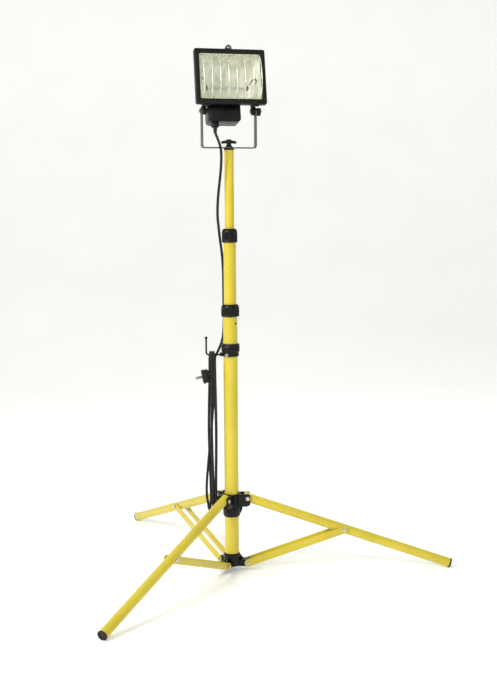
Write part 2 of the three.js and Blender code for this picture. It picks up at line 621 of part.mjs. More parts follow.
// Where the loose cord runs, from the gland to the top of the hank, around the mast's axis.
const CORD_ROUTE = [
  [-35.2, -16.7, 1181.9], [-34.6, -18.9, 1168], [-28.5, -22.5, 1152], [-22.5, -25.5, 1134], [-20, -25, 1117],
  [-20, -22.5, 1096], [-22, -20, 1068], [-25.5, -17, 1038], [-29, -12, 1006], [-30.8, -7, 978],
  [-31, -1, 952], [-28.5, 5, 922], [-25.5, 11, 893], [-22, 17, 866], [-19.5, 20.5, 840],
  [-18, 22, 810], [-17.6, 23, 775], [-17.5, 24, 740], [-17.3, 24.6, 715], [-17, 24.6, 690],
  [-17.5, 23.4, 665], [-19.5, 21.6, 638], [-24, 20.4, 618], [-30, 20.4, 603], [-34.5, 20.8, 593],
];

function buildCord() {
  const route = new THREE.CatmullRomCurve3(CORD_ROUTE.map((point) => new THREE.Vector3(...point)));
  place(stand, 'cord_drop', sweep(route, CORD_RADIUS, 8, 36), blackRubber);

  const { x, thickness, halfWidth, ring: turn, from, to } = HANK;
  const middle = (from + to) / 2;
  const outline = roundedRectangle(halfWidth, (to - from) / 2, halfWidth, middle);
  outline.holes.push(roundedRectangle(halfWidth - turn, (to - from) / 2 - turn, halfWidth - turn, middle));
  place(stand, 'cord_hank', acrossX(outline, x - thickness / 2, thickness, 6), blackRubber);

  // The plug hangs half inside the hank, with its pins away from the mast and a little down.
  const plug = new THREE.Group();
  plug.position.set(-64, 0, 531);
  plug.rotation.y = deg(-12);
  stand.add(plug);
  const face = -12;
  const body = alongX(turned([
    [0, face], [17.5, face], [19, face + 2], [19, 2], [16, 3.5], [14.5, 4.5], [14.5, 15], [11, 19], [0, 19],
  ], 20));
  const pinSpacing = 19;
  const pinRadius = 2.4;
  const holes = [-1, 1].map((side) => alongX(disc(pinRadius + GAP, face - 5, face + 5, 10))
    .translate(0, (side * pinSpacing) / 2, 0));
  place(plug, 'plug_body', cut(body, ...holes), blackRubber);
  for (const [name, side] of [['plug_pin_front', -1], ['plug_pin_back', 1]]) {
    const pin = alongX(turned([
      [0, face - 19], [1.6, face - 19], [pinRadius, face - 17.5], [pinRadius, face + 4.6], [0, face + 4.6],
    ], 12)).translate(0, (side * pinSpacing) / 2, 0);
    place(plug, name, pin, nickel);
  }
}

buildMast();
buildHook();
buildSlidingHub();
buildSpreaderHub();
for (let i = 0; i < LEG_COUNT; i += 1) buildLeg(i);
buildYoke();
const eyeHeight = buildHousing();
buildFrontFrame(eyeHeight);
buildTerminalBox();

// The origin is under the middle of the lamp's own box, measured without its cord.
const box = new THREE.Box3().setFromObject(lamp, true);
stand.position.x = -(box.min.x + box.max.x) / 2;
stand.position.y = -(box.min.y + box.max.y) / 2;
buildCord();

export default lamp;
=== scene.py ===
# %% [markdown]
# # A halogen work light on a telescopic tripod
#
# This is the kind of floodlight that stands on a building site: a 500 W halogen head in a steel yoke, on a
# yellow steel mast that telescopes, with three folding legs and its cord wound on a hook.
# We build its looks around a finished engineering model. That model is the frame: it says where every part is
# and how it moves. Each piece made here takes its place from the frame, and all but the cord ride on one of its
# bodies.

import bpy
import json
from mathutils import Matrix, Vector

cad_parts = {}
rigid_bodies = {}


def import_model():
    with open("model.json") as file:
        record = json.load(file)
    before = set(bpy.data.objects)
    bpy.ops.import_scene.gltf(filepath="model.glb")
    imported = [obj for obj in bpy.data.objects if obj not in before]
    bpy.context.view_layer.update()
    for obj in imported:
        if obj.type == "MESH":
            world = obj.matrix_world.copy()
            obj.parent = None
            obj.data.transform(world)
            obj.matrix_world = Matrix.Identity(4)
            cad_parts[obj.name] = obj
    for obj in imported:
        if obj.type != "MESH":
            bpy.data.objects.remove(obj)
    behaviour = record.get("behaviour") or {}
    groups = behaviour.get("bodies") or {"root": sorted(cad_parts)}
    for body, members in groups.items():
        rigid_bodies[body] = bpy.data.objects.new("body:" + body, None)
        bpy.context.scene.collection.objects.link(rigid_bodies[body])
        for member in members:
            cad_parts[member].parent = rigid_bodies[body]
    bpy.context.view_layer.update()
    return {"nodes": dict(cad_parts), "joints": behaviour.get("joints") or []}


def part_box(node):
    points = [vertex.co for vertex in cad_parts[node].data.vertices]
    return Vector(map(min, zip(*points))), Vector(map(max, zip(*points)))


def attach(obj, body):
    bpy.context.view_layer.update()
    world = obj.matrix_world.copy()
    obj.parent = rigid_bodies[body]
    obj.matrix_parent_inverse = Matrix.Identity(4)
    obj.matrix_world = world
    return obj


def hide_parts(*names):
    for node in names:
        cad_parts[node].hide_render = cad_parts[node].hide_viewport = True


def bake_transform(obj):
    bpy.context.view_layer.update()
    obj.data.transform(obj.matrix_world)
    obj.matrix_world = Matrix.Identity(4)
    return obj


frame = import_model()

# %% [markdown]
# ## Places
#
# Drawing a part is easiest in its own directions, in millimetres: a mast tube round its axis, a leg along
# its length. A matrix then carries the drawing to its place in the scene, which is in metres.
# One could type those places in, but the frame's joints already hold them, so nothing can drift apart.
# Each matrix ends with a scale of 0.001, which turns millimetres into metres.

# %% Read the places from the frame
import json
import math

import bmesh
import bpy
from mathutils import Matrix, Vector

scene = bpy.context.scene


def shift(x, y, z):
    return Matrix.Translation((x, y, z))


def turn(degrees, axis):
    return Matrix.Rotation(math.radians(degrees), 4, axis)


tube_low, tube_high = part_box("outer_tube")
foot_of_mast = (tube_low + tube_high) / 2
MAST = shift(foot_of_mast.x, foot_of_mast.y, 0) @ Matrix.Scale(0.001, 4)

joints = {joint["name"]: joint for joint in frame["joints"]}


def pivot(joint):
    """A joint's place in millimetres round the mast's axis."""
    return MAST.inverted() @ Vector(joints[joint]["pos_m"])


hub_pivot, spreader_pivot, brace_bolt = pivot("hub_on_leg_1"), pivot("leg_fold"), pivot("leg_1_on_brace")
slope = math.degrees(math.atan2(hub_pivot.z - brace_bolt.z, brace_bolt.x - hub_pivot.x))
brace_length = (brace_bolt - spreader_pivot).length
tilt_axis = Vector(joints["head_tilt"]["axis"])
yaw = math.degrees(math.atan2(tilt_axis.y, tilt_axis.x))
head_tilt = -11

THIRDS = [turn(120 * i, "Z") for i in range(3)]
SIDES = [MAST @ third for third in THIRDS]
LEGS = [side @ shift(hub_pivot.x, 0, hub_pivot.z) @ turn(slope, "Y") for side in SIDES]
BRACES = [side @ shift(spreader_pivot.x, 0, spreader_pivot.z) @ turn(-slope, "Y") for side in SIDES]
SWIVEL = MAST @ turn(yaw, "Z")
HEAD = SWIVEL @ shift(0, 0, pivot("head_tilt").z) @ turn(head_tilt, "X")
PLUG = MAST @ shift(-64, 0, 531) @ turn(-12, "Y")
print(f"legs slope {slope:.2f} degrees, braces {brace_length:.1f} mm, head turned {yaw:.1f} degrees")

# %% [markdown]
# ## Camera
#
# A tall, thin object looks best through a long lens from about three metres: the mast stays upright and the
# three legs keep their true spread. The camera stands a little below the head and looks slightly down, so we
# see the tops of the legs and the underside of the head. Its small roll belongs to a hand-held shot.

# %% Set up the camera
camera_distance, camera_height = 3.0263, 0.9646
look_right, look_down, roll = math.degrees(0.01586), 6.375, math.degrees(-0.0062)
lens_data = bpy.data.cameras.new("camera")
lens_data.lens = 60.7
lens_data.sensor_width = 36
camera = bpy.data.objects.new("camera", lens_data)
scene.collection.objects.link(camera)
camera.matrix_world = (shift(foot_of_mast.x, -camera_distance, camera_height)
                       @ turn(-look_right, "Z") @ turn(90 - look_down, "X") @ turn(roll, "Z"))
scene.camera = camera
print("camera", [round(c, 3) for c in camera.location], "lens", lens_data.lens, "mm")

# %% [markdown]
# ## Colours and shader nodes
#
# A painter names a colour by its sRGB hex code, as a screen shows it, but a renderer adds up light, so it
# works in linear values. One function turns one into the other.
# Every finish is a small graph of nodes. Adding a node, setting it up and plugging it in are always the same
# three moves, so one function does them for every kind of node.

# %% Colour and node helpers
def to_linear(hex_colour):
    """An sRGB hex colour as linear red, green, blue and alpha."""
    channels = [int(hex_colour[i:i + 2], 16) / 255 for i in (1, 3, 5)]
    return (*(c / 12.92 if c <= 0.04045 else ((c + 0.055) / 1.055) ** 2.4 for c in channels), 1)


def per_metre(millimetres):
    """The scale that gives a pattern features of that size on Object coordinates."""
    return 1000 / millimetres


def add_node(finish, kind, inputs=None, stops=(), **settings):
    """Adds one node. inputs are values or other nodes' sockets; stops are a colour ramp's places and colours."""
    node = finish.node_tree.nodes.new(kind)
    for name, value in settings.items():
        setattr(node, name, value)
    for (place, colour), stop in zip(stops, node.color_ramp.elements if stops else ()):
        stop.position, stop.color = place, to_linear(colour)
    for socket, value in (inputs or {}).items():
        if isinstance(value, bpy.types.NodeSocket):
            finish.node_tree.links.new(value, node.inputs[socket])
        else:
            node.inputs[socket].default_value = value
    return node


def new_finish(name, slot, **sockets):
    """A material with its shader's plain values set. slot is its name in the frame's record."""
    finish = bpy.data.materials.new(name)
    finish.use_nodes = True
    finish["slot"] = slot
    shader = finish.node_tree.nodes["Principled BSDF"]
    for socket, value in sockets.items():
        shader.inputs[socket.replace("_", " ")].default_value = value
    return finish


print("white in linear values:", to_linear("#ffffff"), "mid grey:", round(to_linear("#808080")[0], 3))

# %% [markdown]
# ## What most finishes share
#
# No real surface has one flat colour. On this lamp, patches of wear or dirt shift the tone and the gloss a
# little, and a finer grain stands up from the surface. Each finish could have its graph written out in full.
# The graphs differ only in their values, so two functions draw them: one for the patches, one for the relief.

# %% Patches and relief
def connect(finish, **sources):
    """Plugs outputs into the shader's sockets of those names."""
    shader = finish.node_tree.nodes["Principled BSDF"]
    for socket, source in sources.items():
        finish.node_tree.links.new(source, shader.inputs[socket.replace("_", " ")])


def add_patches(finish, size, detail, tones=(), gloss=None, spread=(0.3, 0.7), stretch=(1, 1, 1)):
    """Patches of a size in millimetres that wander between two tones, two roughnesses, or both."""
    spot = add_node(finish, "ShaderNodeTexCoord").outputs["Object"]
    if stretch != (1, 1, 1):
        spot = add_node(finish, "ShaderNodeVectorMath", {0: spot, 1: stretch}, operation="MULTIPLY").outputs[0]
    patches = add_node(finish, "ShaderNodeTexNoise", {"Vector": spot, "Scale": per_metre(size), "Detail": detail})
    if tones:
        ramp = add_node(finish, "ShaderNodeValToRGB", {"Fac": patches.outputs["Fac"]}, stops=tones)
        connect(finish, Base_Color=ramp.outputs["Color"])
    if gloss:
        limits = zip(("From Min", "From Max", "To Min", "To Max"), (*spread, *gloss))
        worn = add_node(finish, "ShaderNodeMapRange", {"Value": patches.outputs["Fac"], **dict(limits)})
        connect(finish, Roughness=worn.outputs["Result"])


def add_relief(finish, texture, size, height, strength, output="Fac", inputs=None, **settings):
    """A relief from a texture node, with its size and height in millimetres."""
    spot = add_node(finish, "ShaderNodeTexCoord").outputs["Object"]
    grain = add_node(finish, texture, {"Vector": spot, "Scale": per_metre(size), **(inputs or {})}, **settings)
    relief = add_node(finish, "ShaderNodeBump",
                      {"Height": grain.outputs[output], "Strength": strength, "Distance": height / 1000})
    connect(finish, Normal=relief.outputs["Normal"])


print("a pattern of 2.5 mm has the scale", per_metre(2.5))

# %% [markdown]
# ## Stove enamel on steel tube
#
# The mast and the legs are steel tube, sprayed yellow and baked. The paint is glossy, and as it flows before
# it sets it keeps a faint orange-peel ripple of 2 to 3 mm. In use it gets duller where hands slide along it.
# We start with a plain glossy dielectric, let a broad noise shift the yellow a little, let a finer one vary
# the gloss, and add the ripple as a bump.

# %% Yellow enamel
yellow_enamel = new_finish("yellow_stove_enamel", "yellow_enamel",
                           Metallic=0, IOR=1.5, Coat_Weight=0.35, Coat_Roughness=0.12)
add_patches(yellow_enamel, 90, 4, tones=[(0.3, "#c4b022"), (0.7, "#d2be30")])
add_patches(yellow_enamel, 14, 6, gloss=(0.26, 0.44))
add_relief(yellow_enamel, "ShaderNodeTexNoise", 2.5, 0.4, 0.25, inputs={"Detail": 1})
print("enamel:", len(yellow_enamel.node_tree.nodes), "nodes")

# %% [markdown]
# ## Black nylon mouldings
#
# Collars, hubs, knobs and the terminal box are moulded in black glass-filled nylon. The mould is spark
# eroded, which leaves a satin grain of about 1 mm, and handling polishes the high spots.

# %% Black nylon
black_nylon = new_finish("moulded_black_nylon", "black_plastic", Metallic=0, IOR=1.53, Specular_IOR_Level=0.22)
add_patches(black_nylon, 11, 5, tones=[(0.35, "#0b0808"), (0.75, "#161312")], gloss=(0.24, 0.42))
add_relief(black_nylon, "ShaderNodeTexNoise", 1, 0.2, 0.3, inputs={"Detail": 2})
print("nylon:", len(black_nylon.node_tree.nodes), "nodes")

# %% [markdown]
# ## Powder-coated casting
#
# The housing and the front frame are die-cast aluminium under black powder coat. Powder melts into a skin
# with a coarser, softer texture than a moulding has, a little over a millimetre from bump to bump, and it
# scatters light more, so it looks greyer where light grazes it.

# %% Black powder coat
black_powder = new_finish("black_powder_coat", "black_casting", Metallic=0, IOR=1.5, Specular_IOR_Level=0.22)
add_patches(black_powder, 28, 6, tones=[(0.35, "#0d0a08"), (0.75, "#1b1815")], gloss=(0.34, 0.55))
add_relief(black_powder, "ShaderNodeTexVoronoi", 1.4, 0.3, 0.35, "Distance")
print("powder coat:", len(black_powder.node_tree.nodes), "nodes")

# %% [markdown]
# ## Zinc-plated steel
#
# The yoke and the tilt bolt are plated with zinc. Zinc is a soft grey metal. Its crystals and the rolling of
# the strip leave a cloudy sheen, so tone and gloss both wander over patches of 10 to 20 mm.

# %% Zinc plate
zinc_plate = new_finish("zinc_plated_steel", "zinc_steel", Metallic=1)
add_patches(zinc_plate, 16, 6, tones=[(0.3, "#4e524f"), (0.7, "#6e726e")], gloss=(0.28, 0.5))
add_relief(zinc_plate, "ShaderNodeTexNoise", 0.8, 0.1, 0.15, inputs={"Detail": 3})
print("zinc plate:", len(zinc_plate.node_tree.nodes), "nodes")

# %% [markdown]
# ## Hammered aluminium and bright wire
#
# The reflector is thin aluminium sheet, rolled with a pattern of small dimples so that it spreads the beam
# instead of focusing it. A Voronoi pattern gives dimples that touch without lining up, here 5 mm across.
# Anodising leaves a matt skin that scatters most of the light before it reaches the metal, so the shader is
# only partly metallic and fairly rough. Stretching the haze along Z gives it the streaks of rolled sheet.
# The guard's wire is steel with a thin bright plating, smoother and paler.

# %% Reflector sheet and guard wire
hammered_sheet = new_finish("hammered_aluminium", "hammered_aluminium", Metallic=0.2)
add_patches(hammered_sheet, 13, 4, tones=[(0.36, "#d0d2b2"), (0.62, "#fffaee")], gloss=(0.3, 0.5),
            stretch=(1, 1, 0.14))
add_relief(hammered_sheet, "ShaderNodeTexVoronoi", 5, 1.2, 0.6, "Distance", {"Smoothness": 0.4},
           feature="SMOOTH_F1")

bright_wire = new_finish("bright_plated_wire", "bright_wire", Metallic=0.6)
add_patches(bright_wire, 6, 5, tones=[(0.3, "#d8dcba"), (0.7, "#f2f3dc")], gloss=(0.18, 0.36))
print("reflector dimples every 5 mm, scale", per_metre(5))

# %% [markdown]
# ## Rubber
#
# The cord's sheath and the feet are black rubber: dull and slightly dusty, with fine lines from the die that
# drew it. It is a shade greyer than the nylon, and rougher, so that it doesn't shine beside it.

# %% Rubber
black_rubber = new_finish("black_rubber", "black_rubber", Metallic=0, IOR=1.52, Specular_IOR_Level=0.3)
add_patches(black_rubber, 12, 6, tones=[(0.35, "#0f0e0e"), (0.75, "#201f1e")], gloss=(0.42, 0.62))
add_relief(black_rubber, "ShaderNodeTexNoise", 1.2, 0.2, 0.25, inputs={"Detail": 3})
print("rubber:", len(black_rubber.node_tree.nodes), "nodes")

# %% [markdown]
# ## Ceramic, glass, quartz and bare metals
#
# The lamp's ends sit in off-white steatite, a ceramic with a soft speckle.
# The front pane is clear toughened glass, and the lamp itself is quartz. A pane that truly refracts hides
# what is behind it from the lights, so both are mostly transparent sheets that keep their gloss.
# Small bright parts are bare metal, and differ only in tone: tungsten, nickel plate and bright zinc.

# %% Ceramic, glass, quartz and bare metals
steatite = new_finish("steatite", "ceramic", Metallic=0, IOR=1.55)
clear_glass = new_finish("toughened_glass", "toughened_glass", Metallic=0, IOR=1.5, Alpha=0.12)
quartz = new_finish("fused_quartz", "quartz", Metallic=0, IOR=1.46, Alpha=0.28)
tungsten = new_finish("tungsten_wire", "quartz", Metallic=1)
nickel_plate = new_finish("nickel_plate", "nickel", Metallic=1)
bright_zinc = new_finish("bright_zinc", "zinc_steel", Metallic=1)
for finish, size, detail, dark, pale, gloss in (
        (steatite, 1.5, 4, (0.35, "#cdc7b8"), (0.6, "#e9e5da"), (0.5, 0.7)),
        (clear_glass, 40, 5, (0.3, "#c9d6c8"), (0.7, "#e2e8dc"), (0.02, 0.14)),
        (quartz, 8, 3, (0.3, "#b9bbb6"), (0.7, "#dcdedb"), (0.04, 0.2)),
        (tungsten, 5, 4, (0.3, "#3f3e3c"), (0.7, "#5d5b57"), (0.16, 0.34)),
        (nickel_plate, 5, 4, (0.3, "#7f807b"), (0.7, "#a9aaa4"), (0.16, 0.34)),
        (bright_zinc, 5, 4, (0.3, "#b4b7b1"), (0.7, "#dcded8"), (0.16, 0.34))):
    add_patches(finish, size, detail, [dark, pale], gloss, spread=(0, 1))
print(len(bpy.data.materials), "materials so far, the frame's own among them")

# %% [markdown]
# ## From a drawing to a piece
#
# A piece is drawn as a bmesh in millimetres, then carried to its place. Its object stays at the origin, so
# patterns on Object coordinates never slide. Here one function does the chores that every piece needs: the
# mesh, its finish, smooth shading with crisp edges, the body it rides on and the CAD part it stands for.


def finish_piece(name, drawing, place, body, finish, stands_for=(), crisp=32):
    bmesh.ops.transform(drawing, matrix=place, verts=drawing.verts)
    mesh = bpy.data.meshes.new(name)
    drawing.to_mesh(mesh)
    drawing.free()
    mesh.shade_smooth()
    mesh.set_sharp_from_angle(angle=math.radians(crisp))
    mesh.materials.append(finish)
    piece = bpy.data.objects.new(name, mesh)
    scene.collection.objects.link(piece)
    if body:
        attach(piece, body)
    if stands_for:
        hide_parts(*stands_for)
    return piece


# %% [markdown]
# Four more helpers work on a drawing before it becomes a piece. One rounds its sharp edges, as casting and
# moulding do. One puts closed shapes together without cutting them to each other: where they overlap inside,
# nothing shows. One moves a drawing, and one cuts across it with a plane.

# %% Round, join, move and cut
def soften(drawing, width, segments=2, above=30, clamp=True):
    """Rounds every edge that is sharper than an angle in degrees."""
    sharp = [e for e in drawing.edges if e.is_manifold and e.calc_face_angle() > math.radians(above)]
    bmesh.ops.bevel(drawing, geom=sharp, offset=width, segments=segments, profile=0.5, affect="EDGES",
                    material=-1, clamp_overlap=clamp)
    return drawing


def join(*drawings):
    """Puts several closed shapes in one drawing."""
    whole = drawings[0]
    for other in drawings[1:]:
        spare = bpy.data.meshes.new("spare")
        other.to_mesh(spare)
        other.free()
        whole.from_mesh(spare)
        bpy.data.meshes.remove(spare)
    return whole


def moved(drawing, *steps):
    """Carries a drawing through one matrix after another."""
    for step in steps:
        bmesh.ops.transform(drawing, matrix=step, verts=drawing.verts)
    return drawing


def cut(drawing, place, facing, near=0, trim=False):
    """Cuts across a drawing. With trim, the side that the plane faces goes and the cut is filled."""
    bmesh.ops.bisect_plane(drawing, geom=drawing.verts[:] + drawing.edges[:] + drawing.faces[:], dist=near,
                           plane_co=place, plane_no=facing, clear_outer=trim)
    if trim:
        bmesh.ops.holes_fill(drawing, edges=[e for e in drawing.edges if e.is_boundary], sides=0)


print("tubes reach from", [round(c, 3) for c in tube_low], "to", [round(c, 3) for c in tube_high])

# %% [markdown]
# ## Turned shapes
#
# Tubes, collars, bolts and the plug are round. On a lathe, one half outline makes the whole part, and
# Blender's spin does the same: it sweeps an outline of (radius, height) points round the Z axis. After a full
# turn the first and last copies meet, and points on the axis fall together, so doubles are merged.
# Flat parts are slabs: an outline becomes a face, and the face is extruded by the thickness.

# %% Turned shapes and slabs
def turned(outline, steps=48):
    """An outline of (radius, height) points, spun round the Z axis."""
    drawing = bmesh.new()
    points = [drawing.verts.new((radius, 0, height)) for radius, height in outline]
    edges = [drawing.edges.new(pair) for pair in zip(points, points[1:])]
    if outline[0][0] > 0 and outline[-1][0] > 0:
        edges.append(drawing.edges.new((points[-1], points[0])))
    bmesh.ops.spin(drawing, geom=points + edges, cent=(0, 0, 0), axis=(0, 0, 1), angle=2 * math.pi,
                   steps=steps, use_merge=True)
    bmesh.ops.remove_doubles(drawing, verts=drawing.verts, dist=0.001)
    bmesh.ops.recalc_face_normals(drawing, faces=drawing.faces)
    return drawing


def slab(outline, thickness):
    """A flat outline of (x, y) points, raised from z = 0 by its thickness."""
    drawing = bmesh.new()
    face = drawing.faces.new([drawing.verts.new((x, y, 0)) for x, y in outline])
    lifted = bmesh.ops.extrude_face_region(drawing, geom=[face])["geom"]
    bmesh.ops.translate(drawing, verts=[v for v in lifted if isinstance(v, bmesh.types.BMVert)],
                        vec=(0, 0, thickness))
    bmesh.ops.recalc_face_normals(drawing, faces=drawing.faces)
    return drawing


def arc(x, y, radius, start, end, steps=8):
    """Points along a part of a circle, between two angles in degrees."""
    angles = [math.radians(start + (end - start) * i / steps) for i in range(steps + 1)]
    return [(x + radius * math.cos(a), y + radius * math.sin(a)) for a in angles]


print("a 48-step turn has a facet every", 360 / 48, "degrees")

# %% [markdown]
# A slab is drawn lying flat, and most slabs of this lamp stand up. Three turns and two helpers stand them up,
# so that every outline can be drawn in the plane in which the part is seen. A last helper draws points in
# towards the axis, for parts with flutes.

# %% Stand shapes up
upright = turn(90, "X")                   # lays a slab drawn in (x, z) into the XZ plane, thick towards -Y
along_x = turn(90, "Y")                   # lays the Z axis along X
along_y = turn(-90, "X")                  # lays the Z axis along Y


def across(x, y=0, z=0):
    """Lays a slab drawn in (y, z) into the YZ plane, thick towards +X."""
    return shift(x, y, z) @ turn(90, "Z") @ turn(90, "X")


def plate(outline, thickness, rear, rounding=0.8, above=30):
    """A plate drawn in (x, z) with rounded edges. It reaches forward from y = rear by its thickness."""
    return soften(moved(slab(outline, thickness), upright, shift(0, rear, 0)), rounding, above=above)


def box_outline(left, bottom, right, top):
    return [(left, bottom), (right, bottom), (right, top), (left, top)]


def draw_in(vert, depth, flutes):
    """Moves a point towards the Z axis by a depth that comes and goes with each flute."""
    spread = math.hypot(vert.co.x, vert.co.y)
    wave = 0.5 - 0.5 * math.cos(flutes * math.atan2(vert.co.y, vert.co.x))
    vert.co.x *= 1 - depth * wave / spread
    vert.co.y *= 1 - depth * wave / spread


sample = plate(box_outline(0, 0, 10, 10), 2, 0)
print("a plate with rounded edges has", len(sample.faces), "faces")
sample.free()

# %% [markdown]
# ## The cord
#
# Three metres of black rubber cable, 7 mm thick, leave the gland under the head, hang beside the mast, and
# go over the cable hook in three long turns. The cord hangs under its own weight, so its route runs nearly
# straight down, and no bend in the hank is tighter than three diameters.
# The head tilts and swivels and both mast sections slide, so the hanging part is made as four tubes end to
# end. Each crosses one joint, between the two bodies that the joint joins; the tubes ride on no body and stay
# where they are drawn.

# %% The cord's route
CORD_ROUTE = [
    (-35.2, -16.7, 1181.9), (-34.6, -18.9, 1168), (-28.5, -22.5, 1152), (-22.5, -25.5, 1134), (-20, -25, 1117),
    (-20, -22.5, 1096), (-22, -20, 1068), (-25.5, -17, 1038), (-29, -12, 1006), (-30.8, -7, 978),
    (-31, -1, 952), (-28.5, 5, 922), (-25.5, 11, 893), (-22, 17, 866), (-19.5, 20.5, 840),
    (-18, 22, 810), (-17.6, 23, 775), (-17.5, 24, 740), (-17.3, 24.6, 715), (-17, 24.6, 690),
    (-17.5, 23.4, 665), (-19.5, 21.6, 638), (-24, 20.4, 618), (-30, 20.4, 603), (-34.5, 20.8, 593)]

bend, top, bottom = 21.2, 573.9, 189.7    # the half turns' radius, and the heights of their centres


def strand(x, side, start, end, sway):
    """A long run of the hank at one side, with a slight sway to its neighbours."""
    swell = [math.sin(math.pi * i / 8) for i in range(8)]
    return [(x + sway * swell[i] ** 2, side * (bend - 0.4 * swell[i]), start + (end - start) * i / 8)
            for i in range(1, 8)]


def loop(x0, x1, centre, up):
    """A half turn over the hook or round the bottom, from one strand to the next."""
    start, end = (180, 0) if up else (0, -180)
    return [(x0 + (x1 - x0) * i / 8, y, z) for i, (y, z) in enumerate(arc(0, centre, bend, start, end))]


hank = [(-39.8, 21.2, 583)]
for x0, x1, sway_down, sway_up in ((-42, -42.5, 2, 2.5), (-49, -49.5, -3, -2.5)):
    hank += [(x0, bend, top), *strand(x0, 1, top, bottom, sway_down), *loop(x0, x1, bottom, False)]
    hank += [*strand(x1, -1, bottom, top, sway_up), *loop(x1, x0 - 7, top, True)[:-1]]
hank += [(-56, bend, top), *strand(-56, 1, top, bottom, -4), *loop(-56, -63, bottom, False)]
hank += [(-66.5, -20, 215), (-66, -17.5, 248), (-62.5, -14.5, 290), (-58, -11.5, 335), (-53.5, -8, 380),
         (-49.5, -4.5, 425), (-47, -1.5, 462), (-47.2, 0, 487), (-49.8, 0, 502)]


def smooth_line(points, steps=5):
    """A curve through every point (Catmull-Rom), finer than the points by the number of steps."""
    points = [Vector(p) for p in points]
    points = [2 * points[0] - points[1], *points, 2 * points[-1] - points[-2]]
    line = []
    for a, b, c, d in zip(points, points[1:], points[2:], points[3:]):
        for i in range(steps):
            t = i / steps
            line.append(0.5 * (2 * b + (c - a) * t + (2 * a - 5 * b + 4 * c - d) * t ** 2
                               + (3 * b - a - 3 * c + d) * t ** 3))
    return [*line, points[-2]]


cord_line = smooth_line(CORD_ROUTE + hank)
cord_length = sum((b - a).length for a, b in zip(cord_line, cord_line[1:]))
print(f"cord: {cord_length / 1000:.2f} m from gland to plug, {len(cord_line)} points")

# %% [markdown]
# A curve with a round bevel is the natural way to make a cable. It is turned into a mesh here. The tube is cut
# at three heights, and each cut lies where the cord is straight.

# %% Sweep and hang the cord
def tube(points, radius, sides=12):
    """A round bar along a line of points, as a drawing with closed ends."""
    curve = bpy.data.curves.new("line", "CURVE")
    curve.dimensions, curve.bevel_depth, curve.bevel_resolution = "3D", radius, (sides - 4) // 2
    curve.use_fill_caps = True
    spline = curve.splines.new("POLY")
    spline.points.add(len(points) - 1)
    for knot, point in zip(spline.points, points):
        knot.co = (*point, 1)
    holder = bpy.data.objects.new("line", curve)
    swept = bpy.data.meshes.new_from_object(holder)
    drawing = bmesh.new()
    drawing.from_mesh(swept)
    for spare, store in ((holder, bpy.data.objects), (swept, bpy.data.meshes), (curve, bpy.data.curves)):
        store.remove(spare)
    bmesh.ops.remove_doubles(drawing, verts=drawing.verts, dist=0.001)
    bmesh.ops.recalc_face_normals(drawing, faces=drawing.faces)
    return drawing


cord_radius, cuts = 3.5, [1138, 1092, 810, 0]
spans = [("cord_at_head", "head", "yoke"), ("cord_at_yoke", "yoke", "top_mast"),
         ("cord_at_top_mast", "top_mast", "middle_mast"), ("cord_hank_and_drop", "middle_mast", "mast_base")]
descending = [p for p in cord_line if p.z > 590][:len(CORD_ROUTE) * 5 - 4]    # the drop, without the hank
cord_pieces, start = [], 0
for (name, above, below), cut_z in zip(spans, cuts):
    end = next((i for i, p in enumerate(descending) if p.z < cut_z), len(cord_line) - 1)
    line = cord_line[start:end + 1]
    piece = finish_piece(name, tube(line, cord_radius), MAST, None, black_rubber, crisp=60)
    path = [MAST @ p for p in line]
    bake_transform(piece)
    cord_pieces.append((piece, path))
    start = end
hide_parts("cord_drop")
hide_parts("cord_drop", "cord_hank")
print("cord pieces:", {p.name: len(path) for p, path in cord_pieces})

# %% [markdown]
# ## The plug
#
# The cord ends in a moulded mains plug with a ribbed grip. Its body is a lathe shape: a flat face that meets
# the wall, a rim, grooves for the fingers, and a tail. The cord enters from below through a tapered sleeve,
# which spreads the bend. The ribs are turned as grooves, since that is how the mould is cut.

# %% Plug, sleeve and pins
grip = [(0, -12), (17, -12), (18.4, -11.4), (19, -10), (19, -6.5)]
for groove in (-5.5, -2.5, 0.5):
    grip += [(18, groove), (18, groove + 1), (19, groove + 1.6)]
grip += [(19, 3), (16.4, 4), (14.5, 5.2), (14.5, 14), (13.4, 17), (10.5, 19), (0, 19)]
body = moved(soften(turned(grip, 56), 0.4), along_x)
sleeve = [(0, 0), (7.4, 0), (7.4, 5)]
for ring in range(4):
    low, wide, narrow = 6.5 + ring * 4.5, 6.9 - ring * 0.6, 6.2 - ring * 0.6
    sleeve += [(wide, low), (wide, low + 1.5), (narrow, low + 2), (narrow, low + 3.4)]
sleeve += [(4.2, 26), (0, 26)]
exit_sleeve = moved(turned(sleeve, 32), turn(180, "X"), shift(9.5, 0, -11.5))
plug = finish_piece("plug", join(body, exit_sleeve), PLUG, "mast_base", black_rubber, ["plug_body"])
for name, side in (("plug_pin_front", -1), ("plug_pin_back", 1)):
    pin = turned([(0, -31), (1.3, -31), (2.1, -30.2), (2.4, -28.8), (2.4, -8), (0, -8)], 24)
    finish_piece(name + "_bright", moved(pin, along_x, shift(0, side * 9.5, 0)), PLUG, "mast_base",
                             nickel_plate, [name])

# %% [markdown]
# ## The telescopic mast
#
# Three steel tubes of 38, 33 and 25 mm slide in each other. They are welded tube, so each is a plain turned
# ring with a 1.5 mm wall and a small chamfer where the saw burr was taken off. The wall is real, because the
# tubes show their ends when the mast is drawn out.

# %% Mast tubes
def tube_wall(radius, low, high, wall=1.5, steps=64):
    """A cut length of tube with its ends' edges taken off."""
    return turned([(radius - wall, low), (radius - 0.4, low), (radius, low + 0.4), (radius, high - 0.4),
                   (radius - 0.4, high), (radius - wall, high)], steps)


